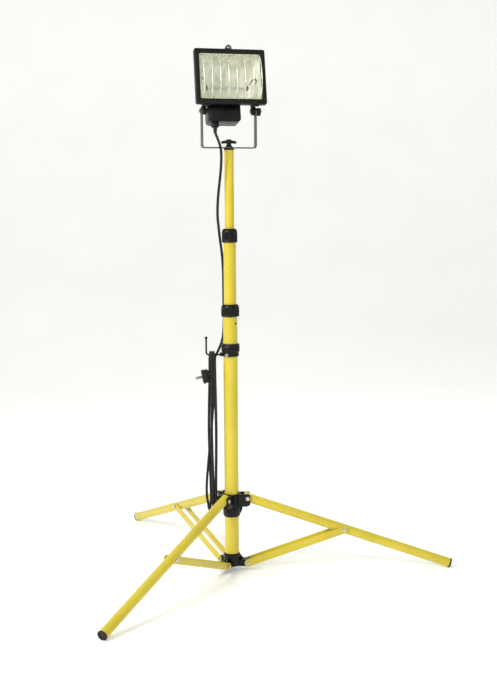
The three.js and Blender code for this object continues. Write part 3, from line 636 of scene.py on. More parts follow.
for name, body in (("outer_tube", "mast_base"), ("middle_tube", "middle_mast"), ("top_tube", "top_mast")):
    low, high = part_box(name)
    radius = (high.x - low.x) * 500
    finish_piece(name.replace("tube", "mast_tube"), tube_wall(radius, low.z * 1000, high.z * 1000), MAST, body,
                 yellow_enamel, [name])
    print(f"{name}: radius {radius:.1f} mm, {1000 * (high.z - low.z):.0f} mm long")

rivet = turned([(0, -0.4), (2.9, -0.4), (2.9, 0.2), (2.2, 0.9), (1.1, 1.3), (0, 1.4)], 24)
finish_piece("mast_rivet", moved(rivet, along_x, shift(18.9, 0, 0), turn(-41, "Z"), shift(0, 0, 672)), MAST,
             "mast_base", black_nylon)

# %% [markdown]
# ## Twist collars
#
# A collar caps the lower tube and grips the tube that slides in it when it is twisted. Fingers need grip, so
# it has flutes all round between two plain bands. The flutes could be cut one by one. It is quicker to turn
# the collar with four facets to a flute, and then draw every other pair of lines in by a cosine.

# %% Collars
def collar(radius, low, high, wide, narrow, step, flutes):
    """A fluted collar whose bore steps from wide to narrow at a height."""
    levels = [low + 3.2, low + 5, low + 8, high - 13, high - 11, high - 9.2]
    outline = [(wide, low), (radius - 1, low), (radius, low + 1), (radius, low + 2.4)]
    outline += [(radius - 0.1, level) for level in levels]
    outline += [(radius, high - 8), (radius - 0.4, high - 6.6), (radius - 2.6, high - 1.2),
                (radius - 3.8, high), (narrow, high), (narrow, step), (wide, step)]
    drawing = turned(outline, flutes * 4)
    for vert in drawing.verts:
        if abs(math.hypot(vert.co.x, vert.co.y) - (radius - 0.1)) < 0.02:
            draw_in(vert, 1.1 if levels[0] + 0.5 < vert.co.z < levels[-1] - 0.5 else 0.2, flutes)
    return drawing


for name, body, flutes, wide, narrow, step in (("lower_collar", "lower_collar", 28, 19.4, 16.9, 706),
                                               ("upper_collar", "upper_collar", 24, 16.9, 12.9, 906)):
    low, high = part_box(name)
    radius = (high.x - low.x) * 500
    finish_piece(name + "_fluted", collar(radius, low.z * 1000, high.z * 1000, wide, narrow, step, flutes), MAST,
                 body, black_nylon, [name], crisp=40)
    print(f"{name}: {flutes} flutes, {2 * math.pi * radius / flutes:.1f} mm apart")

# %% [markdown]
# ## The hook band and the cable hook
#
# A moulded band is clamped round the lower tube and carries the hook for the cord. Its upper ring flares a
# little and its lower ring holds a bright clamping screw. The hook is bent wire in a black sleeve: straight
# out, one bend, up to a ball so that the cord can't slip off. A swept line makes the wire, and the ball is
# a turned half circle.

# %% Band, screw and hook
band_low, band_high = (corner.z * 1000 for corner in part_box("hook_band"))
ring_top = band_low + 10
band = turned([(19.3, band_low), (21.5, band_low), (22.5, band_low + 1), (22.5, ring_top - 1.2), (22, ring_top),
               (22, ring_top + 1.4), (23.6, ring_top + 2), (24.3, ring_top + 3.2), (24.5, ring_top + 8),
               (24.5, band_high - 7), (23.9, band_high - 6), (24.3, band_high - 4.6), (23.2, band_high - 0.6),
               (22.6, band_high), (19.3, band_high)], 72)
wire_z = band_low + 4
boss = soften(moved(slab(box_outline(-28.5, -5, -19.8, 5), 10), shift(0, 0, band_low)), 1.2)
finish_piece("hook_clamp_band", join(band, boss), MAST, "mast_base", black_nylon, ["hook_band"])

cross_head = turned([(0, 20.8), (2, 20.8), (2, 22.6), (5.4, 22.6), (5.4, 23.2), (4.2, 23.3), (4, 25.4),
                     (2.6, 26.3), (1, 26), (0, 25.6)], 32)
finish_piece("hook_band_screw_bright", moved(cross_head, along_x, turn(243, "Z"), shift(0, 0, wire_z)), MAST,
             "mast_base", nickel_plate, ["hook_band_screw"])

hook_bend, hook_reach = 7, -64.5
arm = [(-21.9 - i * 3, 0, wire_z) for i in range(12)]
arm += [(x, 0, z) for x, z in arc(hook_reach + hook_bend, wire_z + hook_bend, hook_bend, -90, -180)]
arm += [(hook_reach, 0, wire_z + hook_bend + i * 4) for i in range(1, 10)]
ball = moved(turned(arc(0, 0, 4, -90, 90, 10), 24), shift(hook_reach, 0, 633))
finish_piece("cable_hook_wire", join(tube(arm, 2.4, 16), ball), MAST, "mast_base", black_nylon, ["cable_hook"],
             crisp=50)
print(f"band from {band_low:.0f} to {band_high:.0f} mm, hook wire at {wire_z:.0f} mm")

# %% [markdown]
# ## Bolts
#
# Every pivot of the tripod is a 6 mm bolt with a domed head, a washer, and a nut with a nylon ring at the
# other end. The head, washer and shank are turned. A nut is the same thing with six facets: a lathe shape
# with six steps is a hexagon.

# %% One bolt
washer = 5.5                              # its radius


def bolt(grip, reach):
    """A bolt along Y that clamps 2 x grip, with heads that reach that much further."""
    seat, face, end = grip + 0.1, grip + 0.9, grip + reach           # both sides of the washer, and the tip
    shank = turned([(0, -end), (2.2, -end), (4.4, -grip - reach * 0.7), (5, -grip - reach * 0.4), (5, -face),
                    (washer, -face), (washer, -seat), (3, -seat), (3, seat), (washer, seat), (washer, face),
                    (3, face), (3, end), (0, end)], 32)
    nut = soften(turned(box_outline(2.9, face, 5.3, grip + reach * 0.75), 6), 0.3)
    ring_low, ring_high = grip + reach * 0.7, grip + reach * 0.97
    lock_ring = turned([(2.8, ring_low), (4.2, ring_low), (3.9, ring_high), (2.8, ring_high)], 24)
    return moved(join(shank, nut, lock_ring), along_y)


print("the washers are", round(2 * washer), "mm across")

# %% [markdown]
# ## The sliding hub
#
# The hub slides on the mast and carries the tops of the three legs. It is one moulding: a collar with a
# swelling below, and three forks. Each fork is a pair of cheeks joined by a web, and a boss at the back takes
# the clamp knob. The collar is turned, the cheeks and webs are slabs, and every edge is rounded, because a
# moulding has no sharp edge.

# %% Hub
cheek = [(16, -22), (40, -22), *arc(44, -14, 6, -70, 0, 4), (50, 6), *arc(44, 6.5, 6, 0, 90, 5), (16, 12.5)]
collar_ring = turned([(19.4, -50), (20.6, -50), (22.4, -47.6), (23.3, -43), (23.3, -27), (22.6, -24), (22, -21),
                      (22, 10.5), (21.3, 12.5), (19.4, 12.5)], 72)
gusset = [(17.5, -44), (22.5, -46), (29, -32), (29, -21), (17.5, -21)]
knob_side = turn(60, "Z"), shift(0, 0, -19)
forks = [collar_ring]
for third in THIRDS:
    for y in (-12.9, 17):
        forks.append(moved(plate(cheek, 4.1, y, 0.9), third))
    forks.append(moved(soften(slab(box_outline(20.4, -15, 25.5, 15), 30), 0.8), shift(0, 0, -20), third))
    forks.append(moved(plate(gusset, 5, 2.5), third))
boss = moved(turned([(3.3, 18.6), (7, 18.6), (7, 26.2), (6.4, 27), (3.3, 27)], 32), along_x, *knob_side)
HUB = MAST @ shift(0, 0, hub_pivot.z)
hub = finish_piece("leg_hub", join(*forks, boss), HUB, "sliding_hub", black_nylon, ["sliding_hub"])
print("hub:", len(hub.data.polygons), "faces, pivots", round(hub_pivot.x, 1), "mm from the axis")

# %% [markdown]
# The clamp knob has three soft lobes. Its outline is a circle whose radius swells and shrinks three times in
# a turn. Such an outline, raised into a slab and rounded well, gives the shape of a moulded knob.

# %% Clamp knob
def lobed(middle, swell, height, rounding, lobes=3):
    """A knob's grip, whose radius swells and shrinks about its middle value."""
    outline = []
    for angle in (math.radians(5 * i) for i in range(72)):
        radius = middle + swell * math.cos(lobes * angle)
        outline.append((radius * math.cos(angle), radius * math.sin(angle)))
    return soften(slab(outline, height), rounding, 4, above=50)


lobe_middle, lobe_swell = 9.6, 2.8
knob = join(lobed(lobe_middle, lobe_swell, 11, 2.2), turned(box_outline(0, -7, 3, 0.5), 24),
            turned([(0, 10), (5, 10), (5, 11.4), (4, 12), (0, 12)], 32))
finish_piece("hub_knob", moved(knob, shift(0, 0, 27.6), along_x, *knob_side), HUB, "hub_clamp_knob",
             black_nylon, ["hub_clamp_knob"])
print("clamp knob: lobes reach", round(lobe_middle + lobe_swell, 1), "mm from its axis")

# %% [markdown]
# ## Legs and feet
#
# Each leg is a tube with a black cap pressed into its end. The cap is a lathe shape with a rim and a shallow
# dish, and it is worn flat where it meets the floor: a plane through the floor cuts it, and the cut is filled.

# %% Legs
leg_low, leg_high, floor_gap = -12, 577.7, 0.00001
for i, n in enumerate((1, 2, 3)):
    leg = moved(tube_wall(12.5, leg_low, leg_high, steps=48), along_x)
    finish_piece(f"leg_{n}_tube", leg, LEGS[i], f"leg_{n}", yellow_enamel, [f"leg_tube_{n}"])
    cap = moved(turned([(0, 556), (9, 556), (10.7, 558), (10.7, 578), (12.6, 578), (13, 578.5), (13, 581),
                        (12.2, 582), (9.4, 582), (8.6, 581), (8, 580.2), (0, 580)], 48), along_x, LEGS[i])
    cut(cap, (0, 0, floor_gap), (0, 0, -1), near=1e-7, trim=True)
    finish_piece(f"foot_cap_{n}", cap, Matrix(), f"leg_{n}", black_rubber, [f"foot_plug_{n}"])
    finish_piece(f"hub_pivot_bolt_{n}", bolt(17.2, 2.6), LEGS[i], "sliding_hub", bright_zinc, [f"hub_bolt_{n}"])
    finish_piece(f"leg_pivot_bolt_{n}", moved(bolt(16.4, 3.5), shift(brace_length, 0, 0)), LEGS[i], f"brace_{n}",
                 bright_zinc, [f"leg_bolt_{n}"])

# %% [markdown]
# ## Braces
#
# Two flat bars brace each leg to the hub at the mast's foot. They are punched from strip, with round ends,
# so each is a slab with its edges rounded. Both bars of a pair sit outside the leg.

# %% Braces
bar = [*arc(0, 0, 9.5, 90, 270, 12), *arc(brace_length, 0, 9.5, -90, 90, 12)]
for i, n in enumerate((1, 2, 3)):
    for letter, y in (("a", 16.2), ("b", -13.2)):
        finish_piece(f"brace_{n}_{letter}", plate(bar, 3, y), BRACES[i], f"brace_{n}", yellow_enamel,
                     [f"brace_bar_{n}_{letter}"])
    finish_piece(f"spreader_pivot_bolt_{n}", bolt(16.4, 3.5), BRACES[i], "mast_base", bright_zinc,
                 [f"spreader_bolt_{n}"])
print("brace bars", round(brace_length, 1), "mm between holes")

# %% [markdown]
# ## The foot of the mast
#
# A second moulding closes the foot of the mast and takes the braces. It is a turned plug with three tongues
# that sit between the brace bars, with a pad under each bolt.

# %% Spreader hub
half = 9.1
pivot_reach = 43
tongue = [(10, -half), *arc(pivot_reach, 0, half, -90, 90, 12), (10, half)]
rib = [(18, half - 2), (34, half - 2), (22, 22), (18, 22)]
spreader = [turned([(0, -half), (19, -half), (21, -half + 1.2), (22, -half + 3), (22, 23.2), (21, 25.6),
                    (20, 26.3), (17.2, 26.3), (17.2, 52), (16, 53.3), (0, 53.3)], 64)]
for third in THIRDS:
    spreader.append(moved(plate(tongue, 25.8, 12.9, 1.2), third))
    for y in (-13.1, 12.5):
        pad = turned(box_outline(3.3, 0, 8, 0.6), 32)
        spreader.append(moved(pad, along_y, shift(pivot_reach, y, 0), third))
    spreader.append(moved(plate(rib, 6, 3), third))
FOOT = MAST @ shift(0, 0, spreader_pivot.z)
finish_piece("mast_foot", join(*spreader), FOOT, "mast_base", black_nylon, ["spreader_hub"])
print("mast foot: tongues", round(2 * half, 1), "mm high, pivots", pivot_reach, "mm from the axis")

# %% [markdown]
# ## Mast top, yoke and T knob
#
# A black plug closes the mast and carries a threaded post. The yoke is a flat steel bar with round ends,
# folded twice in a press. We make it the same way: cut the flat bar, divide it across where it will bend,
# round its edges, and then fold it by moving each point round the two corners.

# %% Plug and yoke
cap = turned([(0, 1099), (10.4, 1099), (10.8, 1100), (10.8, 1125.3), (12.6, 1125.3), (13.4, 1126), (13.4, 1127.9),
              (12.4, 1129), (4, 1129), (4, 1147.6), (3.4, 1148.2), (0, 1148.2)], 48)
finish_piece("mast_top_plug", cap, MAST, "top_mast", black_nylon, ["top_plug"])

yoke_z, yoke_top, half_span, corner = 1129.3, 1236, 73, 8
base = half_span - corner
fold = (corner - 1.5) * math.pi / 2
reach = base + fold + yoke_top - yoke_z - corner
strip = slab([*arc(-reach + 11, 0, 11, 90, 270, 12), *arc(reach - 11, 0, 11, -90, 90, 12)], 3)
for side in (-1, 1):
    for i in range(9):
        cut(strip, (side * (base + fold * i / 8), 0, 0), (1, 0, 0))
soften(strip, 0.6, above=50)
for vert in strip.verts:
    side, along, inward = math.copysign(1, vert.co.x), abs(vert.co.x), vert.co.z
    if along <= base:
        x, z = along, yoke_z + inward
    elif along <= base + fold:
        a = (along - base) / fold * math.pi / 2
        x, z = base + (corner - inward) * math.sin(a), yoke_z + corner - (corner - inward) * math.cos(a)
    else:
        x, z = half_span - inward, yoke_z + corner + along - base - fold
    vert.co.x, vert.co.z = side * x, z
finish_piece("folded_yoke", strip, SWIVEL, "yoke", zinc_plate, ["yoke"])
print(f"yoke: flat bar {2 * reach:.0f} mm long, folded to {2 * half_span} mm across")

# %% [markdown]
# The T knob screws down on the post and clamps the yoke. It is a mushroom of a knob: a thin stem on a wide
# foot, and two wings that droop and taper at their ends.

# %% T knob
under = yoke_z + 3.3
wings = slab([*arc(-15, 0, 5, 90, 270, 10), *arc(15, 0, 5, -90, 90, 10)], 8)
for x in range(-16, 17, 4):
    cut(wings, (x, 0, 0), (1, 0, 0))
soften(wings, 2.4, 4, above=50)
for vert in wings.verts:
    out = abs(vert.co.x) / 20
    vert.co.z = vert.co.z * (1 - 0.15 * out ** 2) + 1.2 - 1.2 * out ** 2
    vert.co.y *= 1 - 0.12 * out
stem = turned([(4.3, 0), (10, 0), (10, 1.4), (8.2, 3), (6.4, 5), (6.2, 10), (7.6, 12.5), (7.2, 18.4), (5.4, 20),
               (0, 20.6), (0, 15.4), (4.3, 15.4)], 40)
knob = join(moved(wings, shift(0, 0, 8.4), turn(8, "Z")), stem)
finish_piece("t_knob", moved(knob, shift(0, 0, under)), MAST, "yoke_knob", black_nylon, ["yoke_knob"])
print("T knob: stands on the yoke at", round(under, 1), "mm")

# %% [markdown]
# ## The housing
#
# The head is a shallow cast trough: deep and curved from top to bottom, with flat slanted cheeks. We raise a
# slab from its curved section, slant the cheeks by bringing the rear points in, open the front, round the
# edges, and give the skin a wall of 3 mm. Cooling ribs stand on its back, and two lugs reach down to the yoke.

# %% Housing
head_middle, eye_z = 79, 157              # the pane's middle and the eye's, above the tilt axis


def section(front, back, half_height, deepest, steps=14):
    """The trough's outline in (y, z): from the lower front edge round the back to the upper one."""
    shoulder, low, high = front + (back - front) * 0.6, head_middle - half_height, head_middle + half_height
    back_low, back_high = deepest - half_height * 0.55, deepest + half_height * 0.6
    points = []
    for a, b, c, d in (((front, low), (shoulder, low), (back, back_low), (back, deepest)),
                       ((back, deepest), (back, back_high), (shoulder, high), (front, high))):
        for t in (i / steps for i in range(steps)):
            points.append(tuple((1 - t) ** 3 * a[k] + 3 * t * (1 - t) ** 2 * b[k] + 3 * t * t * (1 - t) * c[k]
                                + t ** 3 * d[k] for k in (0, 1)))
    return [*points, (front, high)]


def trough(front, back, half_height, deepest, half_front, half_back, wall, rounding):
    """An open trough along X: its cheeks come in from half_front to half_back."""
    drawing = moved(slab(section(front, back, half_height, deepest), 2), across(-1))
    for vert in drawing.verts:
        depth = (vert.co.y - front) / (back - front)
        vert.co.x = math.copysign(half_front + (half_back - half_front) * depth, vert.co.x)
    mouth = [f for f in drawing.faces if all(abs(v.co.y - front) < 0.01 for v in f.verts)]
    bmesh.ops.delete(drawing, geom=mouth, context="FACES_ONLY")
    soften(drawing, rounding, 4, above=50, clamp=False)
    bmesh.ops.solidify(drawing, geom=drawing.faces[:], thickness=wall)
    return drawing


parts = [trough(-29.7, 50, 67, 73, 88, 56, 3, 5)]
outer_line = [p for p in section(-29.7, 57, 67, 73) if p[0] > 14 and 27 < p[1] < 132]
inner_line = [p for p in section(-29.7, 48, 65, 73) if p[0] > 10 and 27 < p[1] < 132]
for x in range(-40, 41, 20):
    fin = moved(slab([*outer_line, *reversed(inner_line)], 3), across(x - 1.5))
    parts.append(soften(fin, 0.7, above=50))
lug = [*arc(0, 0, 10, -180, 0, 14), (10, 24), (-10, 24)]
for x in (-69.5, 61):
    parts.append(soften(moved(slab(lug, 8.5), across(x)), 1, above=50))


def eye(foot):
    """The outline of the round tab that takes the screw, from a height upwards."""
    return [(-8, foot), (8, foot), *arc(0, eye_z, 8, 0, 180, 16)]


parts.append(plate(eye(140), 6, -23.7, above=50))
housing = finish_piece("housing_cast", join(*parts), HEAD, "head", black_powder, ["housing"])
print("housing:", len(housing.data.polygons), "faces, five ribs 20 mm apart")

# %% [markdown]
# ## The reflector
#
# A trough of thin bright sheet fills the housing. Its cheeks are pierced: a round hole for each lamp end and
# a leaf-shaped slot beside it that lets heat out. Cutters that run right through both cheeks, used with a
# Boolean modifier, pierce both at once, as a punch would.

# %% Reflector and its slots
tray = trough(-36, 34, 61, 63, 82, 38, 1.2, 3)
lamp_y, lamp_z = 8, 63
leaf = [(-7, 4), (-11, 12), (-17, 18), (-24, 20.5), (-30, 18.5), (-33, 12), (-31, 5), (-24, 1), (-22, 3.2),
        (-27, 7), (-28, 11), (-25.5, 14.5), (-21, 15), (-16, 11.5), (-11, 4)]
through_head = 200
punch = moved(join(slab(leaf, through_head), turned(box_outline(0, 0, 7, through_head), 24)),
              across(-through_head / 2, lamp_y, lamp_z))


def blank(name, drawing):
    """A drawing as a plain object, for a modifier to work on."""
    mesh = bpy.data.meshes.new(name)
    drawing.to_mesh(mesh)
    drawing.free()
    workpiece = bpy.data.objects.new(name, mesh)
    scene.collection.objects.link(workpiece)
    return workpiece


punch_tool, tray_blank = blank("punch", punch), blank("tray", tray)
piercing = tray_blank.modifiers.new("piercing", "BOOLEAN")
piercing.operation, piercing.solver, piercing.object = "DIFFERENCE", "EXACT", punch_tool
piercing.use_self = True
pierced = bmesh.new()
pierced.from_object(tray_blank, bpy.context.evaluated_depsgraph_get())
for workpiece in (tray_blank, punch_tool):
    bpy.data.objects.remove(workpiece)
reflector = finish_piece("reflector_sheet", pierced, HEAD, "head", hammered_sheet, ["reflector"], crisp=25)
print("reflector:", len(reflector.data.polygons), "faces after piercing")

# %% [markdown]
# ## The lamp and its holders
#
# A 118 mm halogen lamp is a quartz tube with a tungsten coil down its middle. Its ends are pinched flat round
# the foil seals and carry ceramic caps. The coil is a line wound round the axis and swept into a wire. A real
# coil has hundreds of turns, so this one is coarser, with a turn every 2 mm, to show as a coil at all.

# %% Halogen lamp
lamp_at = HEAD @ shift(0, lamp_y, lamp_z)
glass_tube = [(0, -50), (2.2, -49.5), (2.6, -46), (4, -43.5), (5, -40), (5, -1.4), (5, 40), (4, 43.5),
              (2.6, 46), (2.2, 49.5), (0, 50)]
envelope = turned(glass_tube, 40)
nipple = moved(turned([(0, 4.6), (1.3, 4.8), (0.9, 6), (0, 6.6)], 16), turn(-60, "Z"))
lamp_body = moved(join(envelope, nipple), along_x)
for vert in lamp_body.verts:
    if abs(vert.co.x) > 44:
        vert.co.y *= 1.35
        vert.co.z *= 0.6
finish_piece("halogen_tube", lamp_body, lamp_at, "head", quartz, ["halogen_lamp"])
coil_radius, coil_half, turns, steps = 1.1, 40, 40, 12
coil = [(coil_half * (2 * i / (turns * steps) - 1), coil_radius * math.cos(2 * math.pi * i / steps),
         coil_radius * math.sin(2 * math.pi * i / steps)) for i in range(turns * steps + 1)]
finish_piece("tungsten_coil", tube([(-47, 0, 0), *coil, (47, 0, 0)], 0.3, 4), lamp_at, "head", tungsten, crisp=60)
cap = [(0, 46), (3.4, 46), (3.9, 46.8), (3.9, 56), (3.2, 57), (1.6, 57.4), (1.4, 59), (0, 59.4)]
caps = [moved(turned(cap, 32), turn(90 * side, "Y")) for side in (-1, 1)]
finish_piece("lamp_end_caps", join(*caps), lamp_at, "head", steatite)
for name, side in (("lampholder_left", -1), ("lampholder_right", 1)):
    block = soften(slab(box_outline(-7, -8, 7, 8), 7.2), 1)
    cup = turned([(0, -0.6), (4.8, -0.6), (5.2, 0), (5.2, 1.6), (0, 1.6)], 32)
    bush = turned(box_outline(4.2, -8, 5.8, 0), 32)
    holder = moved(join(block, cup, bush), shift(0, 0, 59.6), turn(90 * side, "Y"))
    finish_piece(name + "_block", holder, lamp_at, "head", black_nylon, [name])
print("lamp: 118 mm long,", turns, "turns of coil")

# %% [markdown]
# ## The front frame
#
# A cast frame hinges on the housing and holds the pane. It is a ring with a stepped section: a chamfered
# face, a sloped inner edge, and a rebate behind for the glass. Each corner of that section is a rounded
# rectangle. Joining each rectangle to the next by quads, and the last to the first, closes the ring.

# %% Frame
def rectangle(half_width, half_height, radius, y):
    """A rounded rectangle in the plane y, as points."""
    points = []
    for right, up, start in ((1, 1, 0), (-1, 1, 90), (-1, -1, 180), (1, -1, 270)):
        corner_x, corner_z = right * (half_width - radius), head_middle + up * (half_height - radius)
        points += [(x, y, z) for x, z in arc(corner_x, corner_z, radius, start, start + 90, 5)]
    return points


def ring_of(sections):
    """A closed ring skinned over rounded rectangles, each joined to the next and the last to the first."""
    drawing = bmesh.new()
    loops = [[drawing.verts.new(p) for p in points] for points in sections]
    for near, far in zip(loops, loops[1:] + loops[:1]):
        for i in range(len(near)):
            drawing.faces.new((near[i - 1], near[i], far[i], far[i - 1]))
    bmesh.ops.recalc_face_normals(drawing, faces=drawing.faces)
    return drawing


frame_ring = ring_of([rectangle(93, 72, 5, -30), rectangle(93, 72, 5, -43.6), rectangle(91.4, 70.4, 4.2, -46),
                      rectangle(84, 62.6, 4, -46), rectangle(80.5, 59, 4, -44.2), rectangle(80.5, 59, 4, -42),
                      rectangle(85.5, 64.5, 3, -42), rectangle(85.5, 64.5, 3, -30)])
soften(frame_ring, 0.6, above=40)
pads = [plate([(x - 9, 4), (x + 9, 4), (x + 7, 8.5), (x - 7, 8.5)], 10, -31) for x in (-64, 64)]
front = finish_piece("front_frame_cast", join(frame_ring, plate(eye(145), 5.7, -30.3, above=50), *pads), HEAD,
                     "front_frame", black_powder, ["bezel"])
print("front frame:", len(front.data.polygons), "faces, opening 161 x 118 mm")

# %% [markdown]
# The pane lies in the frame's rebate: a slab of 4 mm glass with its edges ground round, so that it doesn't
# chip. A screw through the eye at the top holds the frame shut. It is a lathe shape with a washer and a dome.

# %% Glass pane and eye screw
pane_width, pane_height = 169, 127
glass_outline = box_outline(-pane_width / 2, head_middle - pane_height / 2, pane_width / 2,
                            head_middle + pane_height / 2)
finish_piece("glass_pane", plate(glass_outline, 4, -37.7, 0.5), HEAD, "front_frame", clear_glass, ["front_glass"])
eye_screw = turned([(0, -6), (2.1, -6), (2.1, 11.4), (5.4, 11.4), (5.4, 12), (4.6, 12.1), (4.4, 13.6), (2.8, 14.7),
                    (0, 15)], 32)
finish_piece("eye_screw", moved(eye_screw, upright, shift(0, -24.7, eye_z)), HEAD, "front_frame", nickel_plate,
             ["bezel_screw"])
print("pane:", pane_width, "x", pane_height, "mm")

# %% [markdown]
# The guard is eight wires, bent into shallow bows and welded to a rail along the top and the bottom. They
# keep hands and falling tools off the hot glass.

# %% Guard
rail_z, rail_y, spacing, bow = 57.5, -43.4, 21.5, 28
guard = []
for z in (-rail_z, rail_z):
    guard.append(tube([(-78 + 4 * i, rail_y, head_middle + z) for i in range(40)], 1.2, 10))
for i in range(8):
    x = (i - 3.5) * spacing
    bent = [(x, rail_y, -rail_z), (x, rail_y - bow * 0.62, -rail_z * 0.78), (x, rail_y - bow, -rail_z * 0.3),
            (x, rail_y - bow, rail_z * 0.3), (x, rail_y - bow * 0.62, rail_z * 0.78), (x, rail_y, rail_z)]
    guard.append(moved(tube(smooth_line(bent, 8), 1.25, 10), shift(0, 0, head_middle)))
finish_piece("guard_wires", join(*guard), HEAD, "front_frame", bright_wire, ["wire_guard"], crisp=60)
print("guard: 8 wires,", spacing, "mm apart")

# %% [markdown]
# ## The terminal box
#
# The supply cord is joined inside a box under the housing. The box is a moulding with rounded lower corners,
# a few short ribs on its face, and a lid at the back with four screws. Its top follows the slope of the
# housing, so a slanted cut trims the slab there.

# %% Terminal box and lid
left, right, floor_z, radius = -56.8, 28, -32, 9


def tub(height, steps):
    """The box's outline in (x, z), with rounded lower corners, up to a height."""
    return [(left, height), *arc(left + radius, floor_z + radius, radius, 180, 270, steps),
            *arc(right - radius, floor_z + radius, radius, -90, 0, steps), (right, height)]


box_body = moved(slab(tub(40, 10), 44), upright, shift(0, 26, 0))
cut(box_body, (0, -18, 13.5), (0, -15, 44), near=0.001, trim=True)
bmesh.ops.recalc_face_normals(box_body, faces=box_body.faces)
soften(box_body, 1.4, 3)
ribs = [plate(box_outline(x, -20, x + 2, -8), 1.8, -17.5, 0.6) for x in (-28, -14, 0)]
band_rib = plate(box_outline(left + 4, -23, right - 4, -21.4), 1.4, -17.4, 0.4)
finish_piece("terminal_box_moulding", join(box_body, band_rib, *ribs), HEAD, "head", black_nylon, ["terminal_box"])

finish_piece("terminal_lid", plate(tub(9, 6), 3, 29.3, 0.9), HEAD, "head", black_nylon, ["terminal_cover"])
screws = []
for x in (left + 8, right - 8):
    for z in (3, -24):
        head_shape = turned([(0, 0), (3, 0), (3, 1.4), (2.2, 2.1), (0.9, 2.3), (0.5, 1.7), (0, 1.7)], 24)
        screws.append(moved(head_shape, along_y, shift(x, 29, z)))
finish_piece("lid_screws", join(*screws), HEAD, "head", bright_zinc)
print("terminal box:", round(right - left, 1), "mm wide,", len(screws), "lid screws")

# %% [markdown]
# A gland screws into the box's floor and grips the cord. Its nut is a dome with twelve shallow grooves,
# drawn in like the collars' flutes. Below it the cord leaves through a tapered rubber sleeve that spreads
# the bend: a thicker tube on the cord's own line, drawn in towards its end.

# %% Gland, nut and sleeve
GLAND = HEAD @ shift(-38, 0, 0)
gland = moved(turned(box_outline(3.9, -35.3, 9.9, -31.9), 6), turn(30, "Z"))
finish_piece("gland_hexagon", soften(gland, 0.5), GLAND, "head", black_nylon, ["cable_gland"])
nut = turned([(3.9, -35.6), (10.6, -35.6), (11, -36.2), (11, -41), (10, -42.6), (8.4, -43.6), (6.4, -44),
              (3.9, -44)], 72)
for vert in nut.verts:
    if math.hypot(vert.co.x, vert.co.y) > 10.3:
        draw_in(vert, 0.7, 12)
finish_piece("gland_dome", nut, GLAND, "head", black_nylon, ["gland_nut"], crisp=40)
entry = [HEAD.inverted() @ (MAST @ p) for p in cord_line[:6]]
relief = tube([entry[0] - Vector((0, 0, -3)), *entry[:6]], 4.6, 20)
top_z = max(v.co.z for v in relief.verts)
for vert in relief.verts:
    axis_point = min(entry, key=lambda p: (p - vert.co).length)
    drop = (top_z - vert.co.z) / 20
    vert.co = axis_point + (vert.co - axis_point) * max(0.8, 1.25 - 0.4 * drop)
finish_piece("cord_relief", relief, HEAD, "head", black_rubber, crisp=50)
print("gland at", [round(c, 3) for c in (GLAND @ Vector((0, 0, -40)))])

# %% [markdown]
# ## Tilt knob and tilt bolt
#
# A lobed knob at the right clamps the head's tilt, and a bolt with a washer does so at the left. Both sit on
# the outside of the yoke's arms.

# %% Tilt clamp
tilt_knob = join(lobed(9, 2.6, 11.6, 2.4), turned([(3.3, -0.4), (6.5, -0.4), (7.4, 2.6), (3.3, 2.6)], 32),
                 turned([(0, 10.6), (4.6, 10.6), (4.4, 12.6), (3.4, 13.6), (0, 13.8)], 32))
finish_piece("tilt_knob_lobed", moved(tilt_knob, shift(0, 0, 73.6), along_x), HEAD, "tilt_knob", black_nylon,
             ["tilt_knob"])
shoulder = [(0, 57.4), (5.4, 57.4), (5.4, 60.6), (3, 60.6)]
stud = turned([*shoulder, (3, 76), (0, 76)], 32)
finish_piece("tilt_stud_bright", moved(stud, along_x), HEAD, "head", zinc_plate, ["tilt_stud"])
left_bolt = turned([*shoulder, (3, 73.2), (8, 73.2), (8, 74.2), (5.4, 74.3), (5.4, 76.2), (4.2, 77.8), (0, 78.3)],
                   32)
finish_piece("tilt_bolt_bright", moved(left_bolt, turn(-90, "Y")), HEAD, "head", zinc_plate, ["tilt_bolt"])
print("tilt clamp on the axis at", round(pivot("head_tilt").z), "mm")

# %% [markdown]
# ## Parts kept from the frame
#
# A few inner parts are right as they are: the slide bushes inside the mast, the terminal block and the
# glass seal. They keep their shape and only get their proper finish.

# %% Finish the kept parts
kept = {"middle_bush": black_nylon, "top_bush": black_nylon, "terminal_block": steatite,
        "glass_seal": black_rubber}
for name, finish in kept.items():
    node = frame["nodes"][name]
    node.data.materials.clear()
    node.data.materials.append(finish)
shown = [name for name, node in frame["nodes"].items() if not node.hide_render]
print("kept from the frame:", shown)

# %% [markdown]
# ## Floor and light
#
# A lamp like this is shown on a plain pale floor that runs into a pale wall with no corner, under wide soft
# lights that leave only a faint shadow. One sheet does both: a floor edge is extruded up and its corner
# bevelled into a long curve.

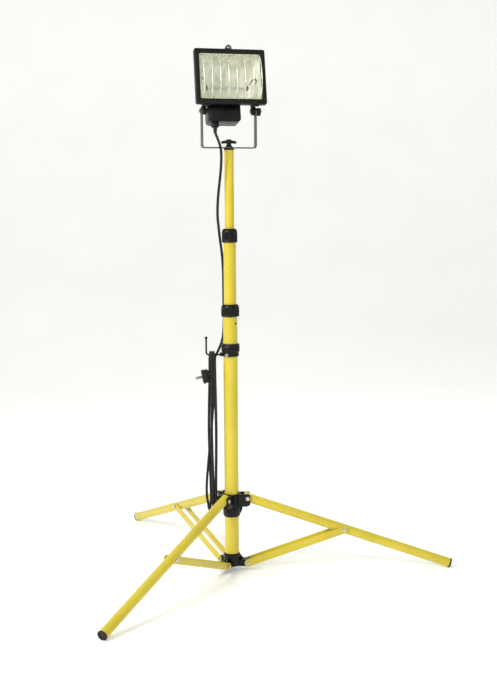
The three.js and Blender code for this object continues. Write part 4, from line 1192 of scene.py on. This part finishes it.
# %% Floor and backdrop
backdrop = bmesh.new()
bmesh.ops.create_grid(backdrop, x_segments=1, y_segments=1, size=1)
bmesh.ops.scale(backdrop, vec=(6, 5, 1), verts=backdrop.verts)
back_edge = max(backdrop.edges, key=lambda e: (e.verts[0].co + e.verts[1].co).y)
lifted = bmesh.ops.extrude_edge_only(backdrop, edges=[back_edge])["geom"]
bmesh.ops.translate(backdrop, verts=[v for v in lifted if isinstance(v, bmesh.types.BMVert)], vec=(0, 0, 6))
bmesh.ops.bevel(backdrop, geom=[back_edge], offset=2, segments=16, profile=0.5, affect="EDGES", material=-1)
paper = new_finish("matt_paper_sweep", "", Roughness=0.9, Specular_IOR_Level=0.1,
                   Emission_Color=to_linear("#fbfdfa"), Emission_Strength=0.17)
add_patches(paper, 1000 / 3, 2, tones=[(0.3, "#f4f5f2"), (0.7, "#f8f9f6")])
sweep = blank("backdrop", backdrop)
sweep.data.shade_smooth()
sweep.data.materials.append(paper)
print("backdrop:", len(sweep.data.polygons), "faces")

# %% [markdown]
# The light is mostly a pale sky from all round. One large lamp at the left gives the shapes their modelling,
# and three weaker ones lighten the right side, the far edges and the inside of the reflector.

# %% Lights
world = bpy.data.worlds.new("soft_box")
scene.world = world
world.use_nodes = True
sky = world.node_tree.nodes["Background"]
sky.inputs["Color"].default_value = to_linear("#fbfcfa")
sky.inputs["Strength"].default_value = 0.6


def area_light(name, place, aim, size, power):
    """A square soft light at a place, turned towards a point, in metres and watts."""
    data = bpy.data.lights.new(name, "AREA")
    data.size, data.energy = size, power
    light = bpy.data.objects.new(name, data)
    light.location = place
    light.rotation_euler = (Vector(aim) - Vector(place)).to_track_quat("-Z", "Y").to_euler()
    scene.collection.objects.link(light)


area_light("key", (-2.6, -2.0, 2.4), (-0.1, 0, 0.7), 1.4, 95)
area_light("fill", (2.6, -2.0, 1.6), (-0.1, 0, 0.6), 1.8, 10)
area_light("rim", (0.6, 2.4, 2.6), (-0.1, 0, 0.8), 1.6, 20)
area_light("front", (-0.3, -2.4, 2.1), (-0.15, 0, 1.3), 0.8, 10)
scene.view_settings.view_transform = "Standard"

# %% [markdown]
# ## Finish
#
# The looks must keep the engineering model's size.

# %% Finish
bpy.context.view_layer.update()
